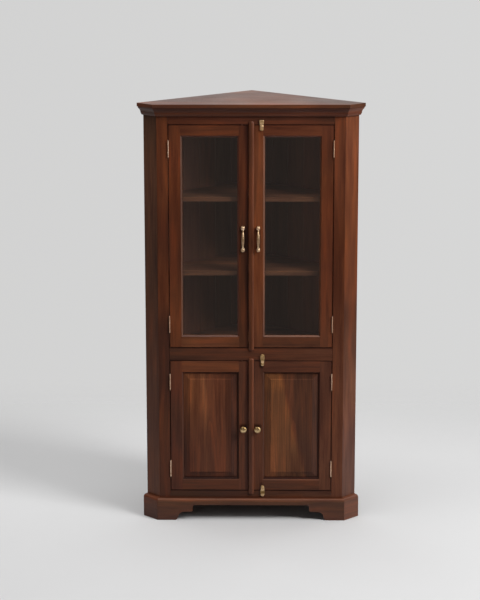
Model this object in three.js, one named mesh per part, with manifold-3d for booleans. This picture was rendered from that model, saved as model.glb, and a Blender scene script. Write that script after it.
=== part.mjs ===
// Free-standing corner cupboard: a glazed upper part over a panelled lower part,
// a face frame with 45 degree returns, two back panels that stand against the two
// walls of a room corner, a cornice and a plinth on bracket feet.
//
// Frame: +Z up, millimetres. The group is drawn with y = 0 on the front face of the
// face frame and +Y into the room corner, then moved so that the origin is the
// middle of the footprint, on the floor.

import * as THREE from 'three';
import { mergeVertices } from 'three/addons/utils/BufferGeometryUtils.js';
import Module from 'manifold-3d';

const wasm = await Module();
wasm.setup();

// ---------------------------------------------------------------- dimensions
const HEIGHT = 1900;           // floor to top of the top board
const FRONT_HALF = 415;        // half width of the face frame
const CANT = 60;               // each 45 degree return runs this far in x and in y
const WALL = FRONT_HALF + 2 * CANT;   // wall planes are |x| + y = WALL
const FIT = 0.3;               // gap between fitted pieces

const FRAME_T = 22;            // thickness of face frame and returns
const BACK_T = 12;             // thickness of the back boards
const POST = 45;               // square post in the back corner
const TOP_T = 16;              // top board
const TOP_OVER = 38;           // overhang of the top board on the front and the returns
const STILE_IN = 365;          // half width of the door opening

const RAIL_TOP = [1808, HEIGHT - TOP_T - FIT];
const RAIL_MID = [744.2, 803.5];
const RAIL_BOT = [72, 134.4];

const DECK = [790, 810];
const BOTTOM = [122, 140];
const SHELVES = { upper_shelf_high: [1462, 1483], upper_shelf_low: [1128, 1149], lower_shelf: [440, 458] };
const SHELF_FRONT = 30;        // front edge of the shelves, behind the doors
const STOP_FRONT = 22.5;       // front edge of deck and bottom board, which stop the doors

const PLINTH_T = 24;
const PLINTH_H = 102;
const ARCH_TOP = 71;

const DOOR_T = 20;
const DOOR_OUT = 362.5;        // hinge edge of every door
const LEFT_MEET = -13.5;       // meeting edge of the left doors
const RIGHT_MEET = -11;        // meeting edge of the right doors
const SIGHT_IN = 60.5;         // sight opening of every door, nearest the middle
const SIGHT_OUT = 304;         // sight opening of every door, nearest the hinges
const CHAMFER = 6.5;           // chamfer round the front of each sight opening
const LIP = 8;                 // front lip in front of glass and panel

const UPPER = { z: [806, 1806], sight: [860.5, 1753] };
const LOWER = { z: [137, 742], sight: [195, 685] };

const GLASS_T = 4;
const REBATE = 7;              // rebate behind the front lip, all round the sight opening
const GROOVE = 10;             // depth of the panel groove
const FIELD_X = [88.5, 277];   // raised field of the lower panels
const FIELD_Z = [222, 658];

const BEAD_X = [-11, 13];      // astragal bead on the right doors
const BEAD_H = 9;
const BEAD_UPPER = [790, 1823];
const BEAD_LOWER = [116, 759];

const HINGE_R = 4;             // knuckle radius
const PIN_R = 1.6;
const BORE_R = 1.9;
const HINGE_X = 363.75;        // hinge axis
const HINGE_Y = -4.3;
const HINGE_L = 74;
const LEAF_T = 1.8;
const LEAF_DEEP = 16.5;        // how far the leaves reach back into the joint
const HINGES = { upper: { top: 1701, bottom: 911 }, lower: { top: 645, bottom: 239 } };

// The pulls and knobs sit 2 mm left of true on both pairs of doors.
const FITTING_SHIFT = -2;
const PULL = { x: 34, z: 1300.4, half: 49, rose: 9.2, proud: 30.5 };
const KNOB = { x: 32, z: 427.3, r: 15.4 };
const CATCHES = {
  upper_right_turn_catch: { x: 46, z: 1788, dir: 1, body: 'upper' },
  lower_right_turn_catch_top: { x: 51.5, z: 729.5, dir: 1, body: 'lower' },
  lower_right_turn_catch_bottom: { x: 53, z: 151.2, dir: -1, body: 'lower' },
};
const SPINDLE_R = 4;
const SPINDLE_HOLE_R = 4.6;
const BALL_CATCH = { x: -40, y: 10, r: 4, hole: 4.3, deep: 14 };

// ---------------------------------------------------------------- finishes
const wood = (hex, rough = 0.42) => new THREE.MeshStandardMaterial({ color: hex, roughness: rough, metalness: 0 });
const brass = () => new THREE.MeshStandardMaterial({ color: 0xb08a52, roughness: 0.28, metalness: 1 });
const glass = () => new THREE.MeshStandardMaterial({ color: 0xdfe6e2, roughness: 0.05, metalness: 0, transparent: true, opacity: 0.3 });
const CASE_WOOD = 0x5b3322;
const FRAME_WOOD = 0x62371f;
const DOOR_WOOD = 0x6b3d26;
const PANEL_WOOD = 0x704429;
const INNER_WOOD = 0x4d3326;

// ---------------------------------------------------------------- geometry helpers
const TAN = Math.tan(Math.PI / 8);
const R2 = Math.SQRT1_2;

// Faces turned outward, whatever way the points were moved.
function outward(geo) {
  const p = geo.attributes.position;
  const index = geo.index.array;
  const a = new THREE.Vector3(), b = new THREE.Vector3(), c = new THREE.Vector3();
  let v = 0;
  for (let i = 0; i < index.length; i += 3) {
    a.fromBufferAttribute(p, index[i]);
    b.fromBufferAttribute(p, index[i + 1]);
    c.fromBufferAttribute(p, index[i + 2]);
    v += a.dot(b.cross(c));
  }
  if (v < 0) {
    for (let i = 0; i < index.length; i += 3) {
      const t = index[i]; index[i] = index[i + 1]; index[i + 1] = t;
    }
  }
  return geo;
}

function merged(geo) {
  const g = geo.clone();
  g.deleteAttribute('normal');
  g.deleteAttribute('uv');
  return outward(mergeVertices(g, 1e-4));
}

// three.js geometry -> solid
function solid(geo) {
  const g = merged(geo);
  return new wasm.Manifold(new wasm.Mesh({
    numProp: 3,
    vertProperties: new Float32Array(g.attributes.position.array),
    triVerts: new Uint32Array(g.index.array),
  }));
}

// solid -> three.js geometry
function geometry(man) {
  const m = man.getMesh();
  const g = new THREE.BufferGeometry();
  g.setAttribute('position', new THREE.BufferAttribute(new Float32Array(m.vertProperties), 3));
  g.setIndex(new THREE.BufferAttribute(new Uint32Array(m.triVerts), 1));
  g.computeVertexNormals();
  return g;
}

function box(x0, x1, y0, y1, z0, z1) {
  const g = new THREE.BoxGeometry(Math.abs(x1 - x0), Math.abs(y1 - y0), Math.abs(z1 - z0));
  g.translate((x0 + x1) / 2, (y0 + y1) / 2, (z0 + z1) / 2);
  return g;
}

// Moves every point of a geometry.
function moved(geo, fn) {
  const p = geo.attributes.position;
  const v = new THREE.Vector3();
  for (let i = 0; i < p.count; i++) {
    v.fromBufferAttribute(p, i);
    const w = fn(v);
    p.setXYZ(i, w[0], w[1], w[2]);
  }
  return geo;
}

// Box whose front rectangle and back rectangle differ: rect = [x0, x1, z0, z1].
function tapered(front, yFront, back, yBack) {
  return moved(new THREE.BoxGeometry(1, 1, 1), (v) => {
    const r = v.y < 0 ? front : back;
    return [v.x < 0 ? r[0] : r[1], v.y < 0 ? yFront : yBack, v.z < 0 ? r[2] : r[3]];
  });
}

const grown = (r, d) => [r[0] - d, r[1] + d, r[2] - d, r[3] + d];
const rectBox = (r, y0, y1) => box(r[0], r[1], y0, y1, r[2], r[3]);

// Upright prism over a plan outline.
function prism(points, z0, z1) {
  const g = new THREE.ExtrudeGeometry(new THREE.Shape(points.map(([x, y]) => new THREE.Vector2(x, y))),
    { depth: z1 - z0, bevelEnabled: false });
  g.translate(0, 0, z0);
  return g;
}

// Moulding with a section of (overhang, height) points, run from plan line a to
// plan line b; a and b give the plan point for an overhang.
function moulding(section, a, b) {
  const g = new THREE.ExtrudeGeometry(new THREE.Shape(section.map(([o, z]) => new THREE.Vector2(o, z))),
    { depth: 1, bevelEnabled: false });
  return moved(g, (v) => {
    const [x, y] = v.z < 0.5 ? a(v.x) : b(v.x);
    return [x, y, v.y];
  });
}

const mirrored = (points) => points.map(([x, y]) => [-x, y]);

// Round part turned about the Y axis; points are (radius, y).
function turnedY(points, segments) {
  return new THREE.LatheGeometry(points.map(([r, y]) => new THREE.Vector2(r, y)), segments);
}

// Round part turned about the Z axis; points are (radius, z).
function turnedZ(points, segments) {
  const g = turnedY(points, segments);
  g.rotateX(Math.PI / 2);
  return g;
}

function mesh(name, geo, material) {
  const m = new THREE.Mesh(geo, material);
  m.name = name;
  return m;
}

// ---------------------------------------------------------------- assembly
const cupboard = new THREE.Group();
const carcase = new THREE.Group();
cupboard.add(carcase);
cupboard.position.y = -(WALL - TOP_OVER) / 2;

// ---- back: boarded panels on the two wall planes, and the corner post
// t runs from the end of the return towards the back corner, d from the wall inwards
const wallPoint = (t, d) => [FRONT_HALF + CANT - t * R2 - d * R2, CANT + t * R2 - d * R2];
const wallLength = (FRONT_HALF + CANT) * Math.SQRT2;
const backStart = FRAME_T + 0.4;
const backEnd = wallLength - POST - 0.4;
const BOARDS = 6;
function backOutline() {
  const pts = [wallPoint(backStart, 0), wallPoint(backEnd, 0), wallPoint(backEnd, BACK_T)];
  for (let i = BOARDS - 1; i >= 1; i--) {
    const t = backStart + (backEnd - backStart) * i / BOARDS;
    pts.push(wallPoint(t + 2.5, BACK_T), wallPoint(t, BACK_T - 2.5), wallPoint(t - 2.5, BACK_T));
  }
  pts.push(wallPoint(backStart, BACK_T));
  return pts;
}
const underTop = HEIGHT - TOP_T - FIT;
carcase.add(mesh('back_panel_right', merged(prism(backOutline(), 20, underTop)), wood(INNER_WOOD, 0.5)));
carcase.add(mesh('back_panel_left', merged(prism(mirrored(backOutline()), 20, underTop)), wood(INNER_WOOD, 0.5)));
const postSide = POST * R2;
carcase.add(mesh('back_corner_post', merged(prism(
  [[0, WALL], [-postSide, WALL - postSide], [0, WALL - 2 * postSide], [postSide, WALL - postSide]], 0, underTop)), wood(CASE_WOOD)));

// ---- top board
const over = (o) => [[FRONT_HALF + o * TAN, -o], [FRONT_HALF + CANT + o * R2, CANT - o * R2]];
const topEdge = over(TOP_OVER);
carcase.add(mesh('top_board', merged(prism(
  [topEdge[0], topEdge[1], [0, WALL], ...mirrored([topEdge[1], topEdge[0]])], HEIGHT - TOP_T, HEIGHT)), wood(CASE_WOOD)));

// ---- shelves, deck and bottom board
const innerReturn = FRONT_HALF - FRAME_T * Math.SQRT2 - FIT * Math.SQRT2;   // x - y on the inside of a return
const innerWall = WALL - BACK_T * Math.SQRT2 - FIT * Math.SQRT2;            // x + y on the inside of a back panel
const postFront = WALL - 2 * postSide - FIT * Math.SQRT2;                   // y - x in front of the post
function shelfOutline(front) {
  const half = [[innerReturn + front, front], [(innerReturn + innerWall) / 2, (innerWall - innerReturn) / 2],
    [(innerWall - postFront) / 2, (innerWall + postFront) / 2]];
  return [...half, [0, postFront], ...mirrored(half).reverse()];
}
for (const [name, [z0, z1]] of Object.entries(SHELVES)) {
  carcase.add(mesh(name, merged(prism(shelfOutline(SHELF_FRONT), z0, z1)), wood(INNER_WOOD, 0.5)));
}
carcase.add(mesh('middle_deck', merged(prism(shelfOutline(STOP_FRONT), ...DECK)), wood(INNER_WOOD, 0.5)));
// the bottom board has a notch for the cam of the lower turn catch
const lowCatch = CATCHES.lower_right_turn_catch_bottom;
carcase.add(mesh('bottom_board', geometry(solid(prism(shelfOutline(STOP_FRONT), ...BOTTOM))
  .subtract(solid(box(lowCatch.x - 35, lowCatch.x + 13, 10, 29, BOTTOM[0] - 5, BOTTOM[1] + 5)))), wood(INNER_WOOD, 0.5)));

// ---- returns and face frame
const cantInner = FRONT_HALF - FRAME_T * TAN;
const returnOutline = [[FRONT_HALF, 0], [FRONT_HALF + CANT, CANT],
  [FRONT_HALF + CANT - FRAME_T * R2, CANT + FRAME_T * R2], [cantInner, FRAME_T]];
carcase.add(mesh('side_return_right', merged(prism(returnOutline, 0, underTop)), wood(CASE_WOOD)));
carcase.add(mesh('side_return_left', merged(prism(mirrored(returnOutline), 0, underTop)), wood(CASE_WOOD)));

// stiles, with shallow mortises for the frame leaves of the hinges
const hingeHeights = [HINGES.upper.top, HINGES.upper.bottom, HINGES.lower.top, HINGES.lower.bottom];
function stile(s) {
  const outline = [[STILE_IN, 0], [FRONT_HALF - 0.35, 0], [cantInner - 0.35, FRAME_T], [STILE_IN, FRAME_T]];
  let body = solid(prism(s > 0 ? outline : mirrored(outline), 0, underTop));
  for (const z of hingeHeights) {
    body = body.subtract(solid(box(s * (STILE_IN - 2), s * (HINGE_X + 0.35 + LEAF_T + FIT), -2, LEAF_DEEP + FIT,
      z - HINGE_L / 2 - FIT, z + HINGE_L / 2 + FIT)));
  }
  return geometry(body);
}
carcase.add(mesh('frame_stile_right', stile(1), wood(FRAME_WOOD)));
carcase.add(mesh('frame_stile_left', stile(-1), wood(FRAME_WOOD)));
for (const [name, [z0, z1]] of Object.entries({ frame_rail_top: RAIL_TOP, frame_rail_middle: RAIL_MID, frame_rail_bottom: RAIL_BOT })) {
  carcase.add(mesh(name, merged(box(-STILE_IN + FIT, STILE_IN - FIT, 0, FRAME_T, z0, z1)), wood(FRAME_WOOD)));
}

// ---- cornice: bead, fascia, cove and fillet under the top board, mitred at the corners
const cornice = [[FIT, 1842], [8, 1842], [11.5, 1843.4], [14, 1846.5], [14, 1862], [17, 1863.6]];
for (let i = 1; i <= 5; i++) {
  const a = i * Math.PI / 10;
  cornice.push([33 - 16 * Math.cos(a), 1864 + 16 * Math.sin(a)]);
}
cornice.push([35.5, 1880], [35.5, underTop], [FIT, underTop]);
// plan lines of the mouldings at overhang o
const frontEnd = (s) => (o) => [s * (FRONT_HALF + o * TAN - 0.2), -o];
const sideStart = (s) => (o) => [s * (FRONT_HALF + o * TAN + 0.2 * R2), -o + 0.2 * R2];
const sideEnd = (s) => (o) => [s * (FRONT_HALF + CANT + o * R2), CANT - o * R2];
carcase.add(mesh('cornice_front', merged(moulding(cornice, frontEnd(-1), frontEnd(1))), wood(CASE_WOOD)));
carcase.add(mesh('cornice_right', merged(moulding(cornice, sideStart(1), sideEnd(1))), wood(CASE_WOOD)));
carcase.add(mesh('cornice_left', merged(moulding(cornice, sideStart(-1), sideEnd(-1))), wood(CASE_WOOD)));

// ---- plinth: rounded top edge, bracket feet either side of a shallow arch
const plinth = [[FIT, 0], [PLINTH_T, 0], [PLINTH_T, 89], [23.2, 93], [21, 96], [17.5, 98.4], [12, 99.8], [FIT, PLINTH_H]];
const archHalf = [[258, ARCH_TOP], [262.5, 69.2], [264.3, 65], [264.8, 58], [265.5, 44], [268, 41], [273, 40.2],
  [302, 39.6], [314, 37.5], [322, 33], [327, 27], [330, 18], [333, 9], [338, 3], [344, -1]];
const archShape = new THREE.Shape([...archHalf, ...mirrored(archHalf).reverse()].map(([x, z]) => new THREE.Vector2(x, z)));
const arch = new THREE.ExtrudeGeometry(archShape, { depth: 60, bevelEnabled: false });
arch.rotateX(Math.PI / 2);           // outline now in x, z
arch.translate(0, 20, 0);            // and it runs from y = 20 to y = -40
carcase.add(mesh('plinth_front', geometry(solid(moulding(plinth, frontEnd(-1), frontEnd(1))).subtract(solid(arch))), wood(CASE_WOOD)));
carcase.add(mesh('plinth_right', merged(moulding(plinth, sideStart(1), sideEnd(1))), wood(CASE_WOOD)));
carcase.add(mesh('plinth_left', merged(moulding(plinth, sideStart(-1), sideEnd(-1))), wood(CASE_WOOD)));

// ---------------------------------------------------------------- hinges
// Butt hinge drawn about its own axis, frame side at +x; five knuckles, three on the
// frame leaf with the pin, two on the door leaf, bored.
const KNUCKLE = (HINGE_L - 4 * FIT) / 5;
const knuckleZ = (i) => -HINGE_L / 2 + i * (KNUCKLE + FIT);
function cylinderZ(r, z0, z1, segments) {
  const g = new THREE.CylinderGeometry(r, r, z1 - z0, segments);
  g.rotateX(Math.PI / 2);
  g.translate(0, 0, (z0 + z1) / 2);
  return g;
}
const leafFront = HINGE_R + 0.35;
function frameLeaf() {
  let s = solid(box(0.35, 0.35 + LEAF_T, leafFront, LEAF_DEEP - HINGE_Y, -HINGE_L / 2, HINGE_L / 2));
  for (const i of [0, 2, 4]) {
    const z0 = knuckleZ(i), z1 = z0 + KNUCKLE;
    s = s.add(solid(cylinderZ(HINGE_R, z0, z1, 12)));
    s = s.add(solid(box(0.35, 0.35 + LEAF_T, 1, leafFront + 1, z0, z1)));
  }
  return geometry(s.add(solid(cylinderZ(PIN_R, -HINGE_L / 2 + 1, HINGE_L / 2 - 1, 12))));
}
function doorLeaf() {
  let s = solid(box(-0.35 - LEAF_T, -0.35, leafFront, LEAF_DEEP - HINGE_Y, -HINGE_L / 2, HINGE_L / 2));
  for (const i of [1, 3]) {
    const z0 = knuckleZ(i), z1 = z0 + KNUCKLE;
    s = s.add(solid(cylinderZ(HINGE_R, z0, z1, 12)));
    s = s.add(solid(box(-0.35 - LEAF_T, -0.35, 1, leafFront + 1, z0, z1)));
  }
  return geometry(s.subtract(solid(cylinderZ(BORE_R, -HINGE_L, HINGE_L, 12))));
}
const frameLeafGeometry = frameLeaf();
const doorLeafGeometry = doorLeaf();
// the left hinges are the right ones turned half round
function placeHinge(m, s, z) {
  m.position.set(s * HINGE_X, HINGE_Y, z);
  if (s < 0) m.rotation.y = Math.PI;
  return m;
}

// ---------------------------------------------------------------- doors
const side = (s) => (s > 0 ? 'right' : 'left');
function doorFrame(s, spec, level) {
  const xs = s > 0 ? [RIGHT_MEET, DOOR_OUT] : [-DOOR_OUT, LEFT_MEET];
  const sx = s > 0 ? [SIGHT_IN, SIGHT_OUT] : [-SIGHT_OUT, -SIGHT_IN];
  const sight = [...sx, ...spec.sight];
  let body = solid(box(...xs, 0, DOOR_T, ...spec.z));
  body = body.subtract(solid(rectBox(sight, -5, DOOR_T + 5)));
  body = body.subtract(solid(tapered(grown(sight, CHAMFER * 1.5), -CHAMFER / 2, sight, CHAMFER)));
  if (level === 'upper') body = body.subtract(solid(rectBox(grown(sight, REBATE), LIP, DOOR_T + 5)));
  else body = body.subtract(solid(rectBox(grown(sight, GROOVE), 8.6, 14.8)));
  for (const z of Object.values(HINGES[level])) {
    body = body.subtract(solid(box(s * (HINGE_X - 0.35 - LEAF_T - FIT), s * (DOOR_OUT + 2), -2, LEAF_DEEP + FIT,
      z - HINGE_L / 2 - FIT, z + HINGE_L / 2 + FIT)));
  }
  if (s > 0) {
    for (const c of Object.values(CATCHES)) {
      if (c.body !== level) continue;
      const hole = new THREE.CylinderGeometry(SPINDLE_HOLE_R, SPINDLE_HOLE_R, DOOR_T + 10, 16);
      hole.translate(c.x, DOOR_T / 2, c.z);
      body = body.subtract(solid(hole));
    }
  } else {
    const hole = cylinderZ(BALL_CATCH.hole, spec.z[1] - BALL_CATCH.deep - FIT, spec.z[1] + 5, 12);
    hole.translate(BALL_CATCH.x, BALL_CATCH.y, 0);
    body = body.subtract(solid(hole));
  }
  return { geo: geometry(body), sight };
}

// raised and fielded panel: tongue in the groove, long bevel, small step to the field
function raisedPanel(s, sight) {
  const field = [...(s > 0 ? FIELD_X : [-FIELD_X[1], -FIELD_X[0]]), ...FIELD_Z];
  return geometry(solid(rectBox(grown(sight, GROOVE - 2), 9, 14.3))
    .add(solid(tapered(field, 2.8, grown(sight, 1.5), 9.6)))
    .add(solid(rectBox(field, 1.5, 12))));
}

function ring(outer, inner, y0, y1) {
  return geometry(solid(rectBox(outer, y0, y1)).subtract(solid(rectBox(inner, y0 - 5, y1 + 5))));
}

// half-round bead
function astragal(z0, z1) {
  const mid = (BEAD_X[0] + BEAD_X[1]) / 2, r = (BEAD_X[1] - BEAD_X[0]) / 2;
  const pts = [];
  for (let i = 0; i <= 10; i++) {
    const a = i * Math.PI / 10;
    pts.push([mid + r * Math.cos(a), -FIT - BEAD_H * Math.sin(a)]);
  }
  return merged(prism(pts, z0, z1));
}

// Bow pull: a turned bar, thin at the ends and swelling in the middle, bent along a
// bow between two round roses. Drawn about its own middle, on the door face.
function pull() {
  const bow = new THREE.CatmullRomCurve3([
    [0, -1.5, PULL.half], [0, -10, PULL.half], [0, -18, PULL.half - 3], [0, -23.5, PULL.half - 14], [0, -PULL.proud + 7, 0],
    [0, -23.5, -PULL.half + 14], [0, -18, -PULL.half + 3], [0, -10, -PULL.half], [0, -1.5, -PULL.half],
  ].map((p) => new THREE.Vector3(...p)), false, 'centripetal');
  const profile = [[0, 0], [4.6, 0], [4.4, 0.07], [4.2, 0.13], [3.9, 0.19], [4.3, 0.26], [5.4, 0.34], [6.5, 0.42], [7, 0.5],
    [6.5, 0.58], [5.4, 0.66], [4.3, 0.74], [3.9, 0.81], [4.2, 0.87], [4.4, 0.93], [4.6, 1], [0, 1]];
  const bar = moved(new THREE.LatheGeometry(profile.map(([r, u]) => new THREE.Vector2(r, u)), 10), (v) => {
    const p = bow.getPointAt(v.y), t = bow.getTangentAt(v.y);
    return [p.x + v.x, p.y - t.z * v.z, p.z + t.y * v.z];
  });
  let s = solid(bar);
  for (const end of [-1, 1]) {
    const rose = turnedY([[0, -FIT], [PULL.rose, -FIT], [PULL.rose, -2.2], [8.2, -4.2], [6, -5.4], [5.4, -7], [0, -7]], 14);
    rose.translate(0, 0, end * PULL.half);
    s = s.add(solid(rose));
  }
  return geometry(s);
}

// Turned knob on a small rose.
function knob() {
  return merged(turnedY([[0, -FIT], [10, -FIT], [10, -2], [7, -3.4], [5.2, -6], [5.4, -10], [9, -13], [13.4, -16],
    [KNOB.r, -20.5], [13.6, -25.2], [8.6, -28.6], [0, -30]], 14));
}

// Turn catch drawn about its spindle (the Y axis): outside lever pointing up, spindle
// through the door, cam behind the door. At rest the cam lies level, clear of the rail.
function turnCatch() {
  const lever = new THREE.Shape();
  lever.absarc(0, 0, 8.5, Math.PI, 2 * Math.PI, false);
  lever.lineTo(9, 12);
  lever.absarc(0, 34, 11.5, -0.55, Math.PI + 0.55, false);
  lever.lineTo(-9, 12);
  const plate = new THREE.ExtrudeGeometry(lever, { depth: 4.5, bevelEnabled: false, curveSegments: 8 });
  plate.rotateX(Math.PI / 2);
  plate.translate(0, -3.5, 0);       // y from -8 to -3.5
  const spindle = turnedY([[0, 24], [SPINDLE_R, 24], [SPINDLE_R, -1], [6.8, -1], [6.8, -5], [0, -5]], 14);
  return geometry(solid(plate).add(solid(spindle)).add(solid(box(-30, 5, 22.6, 25.6, -6, 6))));
}

function ballCatch(z) {
  const g = turnedZ([[0, -BALL_CATCH.deep], [BALL_CATCH.r, -BALL_CATCH.deep], [BALL_CATCH.r, 0], [2.6, 0], [2.3, 0.9], [1.4, 1.5], [0, 1.7]], 12);
  g.translate(BALL_CATCH.x, BALL_CATCH.y, z);
  return merged(g);
}

const knobGeometry = knob();
const pullGeometry = pull();
const catchGeometry = turnCatch();

for (const [level, spec] of Object.entries({ upper: UPPER, lower: LOWER })) {
  for (const s of [-1, 1]) {
    const tag = `${level}_${side(s)}`;
    const door = new THREE.Group();
    cupboard.add(door);
    const { geo, sight } = doorFrame(s, spec, level);
    door.add(mesh(`${tag}_door_frame`, geo, wood(DOOR_WOOD)));
    if (level === 'upper') {
      door.add(mesh(`${tag}_glass`, merged(rectBox(grown(sight, REBATE - 0.5), LIP + FIT, LIP + FIT + GLASS_T)), glass()));
      door.add(mesh(`${tag}_glazing_bead`, ring(grown(sight, REBATE - 0.5), sight, LIP + GLASS_T + 2 * FIT, DOOR_T - FIT), wood(DOOR_WOOD)));
      const p = mesh(`${tag}_pull`, pullGeometry, brass());
      p.position.set(s * PULL.x + FITTING_SHIFT, 0, PULL.z);
      door.add(p);
    } else {
      door.add(mesh(`${tag}_panel`, raisedPanel(s, sight), wood(PANEL_WOOD)));
      const k = mesh(`${tag}_knob`, knobGeometry, brass());
      k.position.set(s * KNOB.x + FITTING_SHIFT, 0, KNOB.z);
      door.add(k);
    }
    for (const [where, z] of Object.entries(HINGES[level])) {
      carcase.add(placeHinge(mesh(`${tag}_${where}_hinge_frame_leaf`, frameLeafGeometry, brass()), s, z));
      door.add(placeHinge(mesh(`${tag}_${where}_hinge_door_leaf`, doorLeafGeometry, brass()), s, z));
    }
    if (s > 0) {
      door.add(mesh(`${tag}_astragal`, astragal(...(level === 'upper' ? BEAD_UPPER : BEAD_LOWER)), wood(DOOR_WOOD)));
      for (const [name, c] of Object.entries(CATCHES)) {
        if (c.body !== level) continue;
        const m = mesh(name, catchGeometry, brass());
        m.position.set(c.x, 0, c.z);
        door.add(m);
      }
    } else {
      door.add(mesh(`${tag}_ball_catch`, ballCatch(spec.z[1]), brass()));
    }
  }
}
// the bottom catch hangs head down; its cam still points to the meeting edge
{
  const m = cupboard.getObjectByName('lower_right_turn_catch_bottom');
  const down = solid(catchGeometry);
  m.geometry = geometry(down.rotate([0, 180, 0]).mirror([1, 0, 0]));
}

export default cupboard;
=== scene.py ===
import math

import bmesh
import bpy
from mathutils import Matrix, Vector


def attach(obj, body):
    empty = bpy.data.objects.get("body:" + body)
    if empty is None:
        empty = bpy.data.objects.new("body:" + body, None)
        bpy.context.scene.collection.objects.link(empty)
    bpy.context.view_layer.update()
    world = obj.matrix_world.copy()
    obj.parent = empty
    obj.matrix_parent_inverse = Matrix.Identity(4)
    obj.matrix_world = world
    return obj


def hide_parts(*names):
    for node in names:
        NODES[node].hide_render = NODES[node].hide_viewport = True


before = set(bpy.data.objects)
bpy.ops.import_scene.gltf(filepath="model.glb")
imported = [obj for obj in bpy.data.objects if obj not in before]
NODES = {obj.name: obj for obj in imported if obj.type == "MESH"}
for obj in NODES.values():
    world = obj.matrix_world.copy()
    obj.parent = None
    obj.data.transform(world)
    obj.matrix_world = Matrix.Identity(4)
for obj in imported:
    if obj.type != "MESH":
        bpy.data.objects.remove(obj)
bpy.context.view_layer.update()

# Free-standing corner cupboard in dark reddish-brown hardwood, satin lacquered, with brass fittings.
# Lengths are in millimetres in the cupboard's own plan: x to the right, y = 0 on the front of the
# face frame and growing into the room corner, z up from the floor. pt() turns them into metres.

Y0 = 248.5
R2 = math.sqrt(0.5)
TAN = math.tan(math.pi / 8)


def pt(x, y, z):
    return (x * 0.001, (y - Y0) * 0.001, z * 0.001)


def back_to_mm(v):
    return (v[0] * 1000.0, v[1] * 1000.0 + Y0, v[2] * 1000.0)


# ------------------------------------------------------------------ camera
def make_camera():
    yaw, pitch, roll = math.radians(0.69), math.radians(12.54), math.radians(-0.04)
    fw = Vector((-math.sin(yaw) * math.cos(pitch), math.cos(yaw) * math.cos(pitch), -math.sin(pitch)))
    right = Vector((math.cos(yaw), math.sin(yaw), 0.0))
    up = right.cross(fw)
    r2 = right * math.cos(roll) + up * math.sin(roll)
    u2 = -right * math.sin(roll) + up * math.cos(roll)
    data = bpy.data.cameras.new("camera")
    data.lens = 115.09
    data.sensor_width = 36.0
    data.clip_start = 0.1
    data.clip_end = 200.0
    cam = bpy.data.objects.new("camera", data)
    bpy.context.scene.collection.objects.link(cam)
    m = Matrix.Identity(4)
    for i, axis in enumerate((r2, u2, -fw)):
        for j in range(3):
            m[j][i] = axis[j]
    m.translation = Vector((0.05152, -8.5939, 2.8795))
    cam.matrix_world = m
    bpy.context.scene.camera = cam


make_camera()


# ------------------------------------------------------------------ node helpers
def add(t, kind, props=None, **ins):
    n = t.nodes.new(kind)
    for k, v in (props or {}).items():
        setattr(n, k, v)
    for k, v in ins.items():
        s = n.inputs[int(k[1:])] if k[0] == "i" and k[1:].isdigit() else n.inputs[k.replace("_", " ")]
        if isinstance(v, bpy.types.NodeSocket):
            t.links.new(v, s)
        else:
            s.default_value = v
    return n


def math_node(t, op, a, b=0.0, c=0.0, clamp=False):
    n = add(t, "ShaderNodeMath", {"operation": op, "use_clamp": clamp}, i0=a, i1=b)
    if op in ("MULTIPLY_ADD", "WRAP", "COMPARE", "SMOOTH_MIN"):
        if isinstance(c, bpy.types.NodeSocket):
            t.links.new(c, n.inputs[2])
        else:
            n.inputs[2].default_value = c
    return n.outputs[0]


def noise(t, vec, scale, detail=2.0, rough=0.5, distortion=0.0, colour=False):
    n = add(t, "ShaderNodeTexNoise", None, i0=vec, i2=scale, i3=detail, i4=rough, i8=distortion)
    return n.outputs[1] if colour else n.outputs[0]


def scaled(t, vec, sx, sy, sz, move=(0.0, 0.0, 0.0)):
    n = add(t, "ShaderNodeMapping", None, i0=vec)
    n.inputs["Location"].default_value = move
    n.inputs["Scale"].default_value = (sx, sy, sz)
    return n.outputs[0]


def ramp(t, fac, stops, interpolation="LINEAR"):
    n = add(t, "ShaderNodeValToRGB", None, i0=fac)
    n.color_ramp.interpolation = interpolation
    e = n.color_ramp.elements
    while len(e) < len(stops):
        e.new(0.5)
    for el, (p, c) in zip(e, stops):
        el.position = p
        el.color = (*c, 1.0) if len(c) == 3 else c
    return n.outputs[0]


def remap(t, v, a, b, c, d, smooth=False):
    n = add(t, "ShaderNodeMapRange", {"interpolation_type": "SMOOTHSTEP" if smooth else "LINEAR", "clamp": True},
            i0=v, i1=a, i2=b, i3=c, i4=d)
    return n.outputs[0]


def mix(t, fac, a, b, mode="MIX"):
    n = add(t, "ShaderNodeMix", {"data_type": "RGBA", "blend_type": mode, "clamp_factor": True}, i0=fac)
    for i, v in ((6, a), (7, b)):
        if isinstance(v, bpy.types.NodeSocket):
            t.links.new(v, n.inputs[i])
        else:
            n.inputs[i].default_value = (*v, 1.0) if len(v) == 3 else v
    return n.outputs[2]


def new_material(name):
    m = bpy.data.materials.new(name)
    m.use_nodes = True
    t = m.node_tree
    t.nodes.clear()
    out = t.nodes.new("ShaderNodeOutputMaterial")
    return m, t, out


# ------------------------------------------------------------------ wood
# Direction of the grain as the turn about z that brings it onto the local x axis, or "z".
def grain_space(t, grain, seed):
    tc = add(t, "ShaderNodeTexCoord")
    n = add(t, "ShaderNodeMapping", None, i0=tc.outputs["Object"])
    if grain == "z":
        n.inputs["Rotation"].default_value = (0.0, math.pi / 2, 0.0)
    else:
        n.inputs["Rotation"].default_value = (0.0, 0.0, math.radians(float(grain)))
    n.inputs["Location"].default_value = (seed * 3.171 % 11.0, seed * 1.733 % 7.0, seed * 5.119 % 13.0)
    return tc, n.outputs[0]


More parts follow.
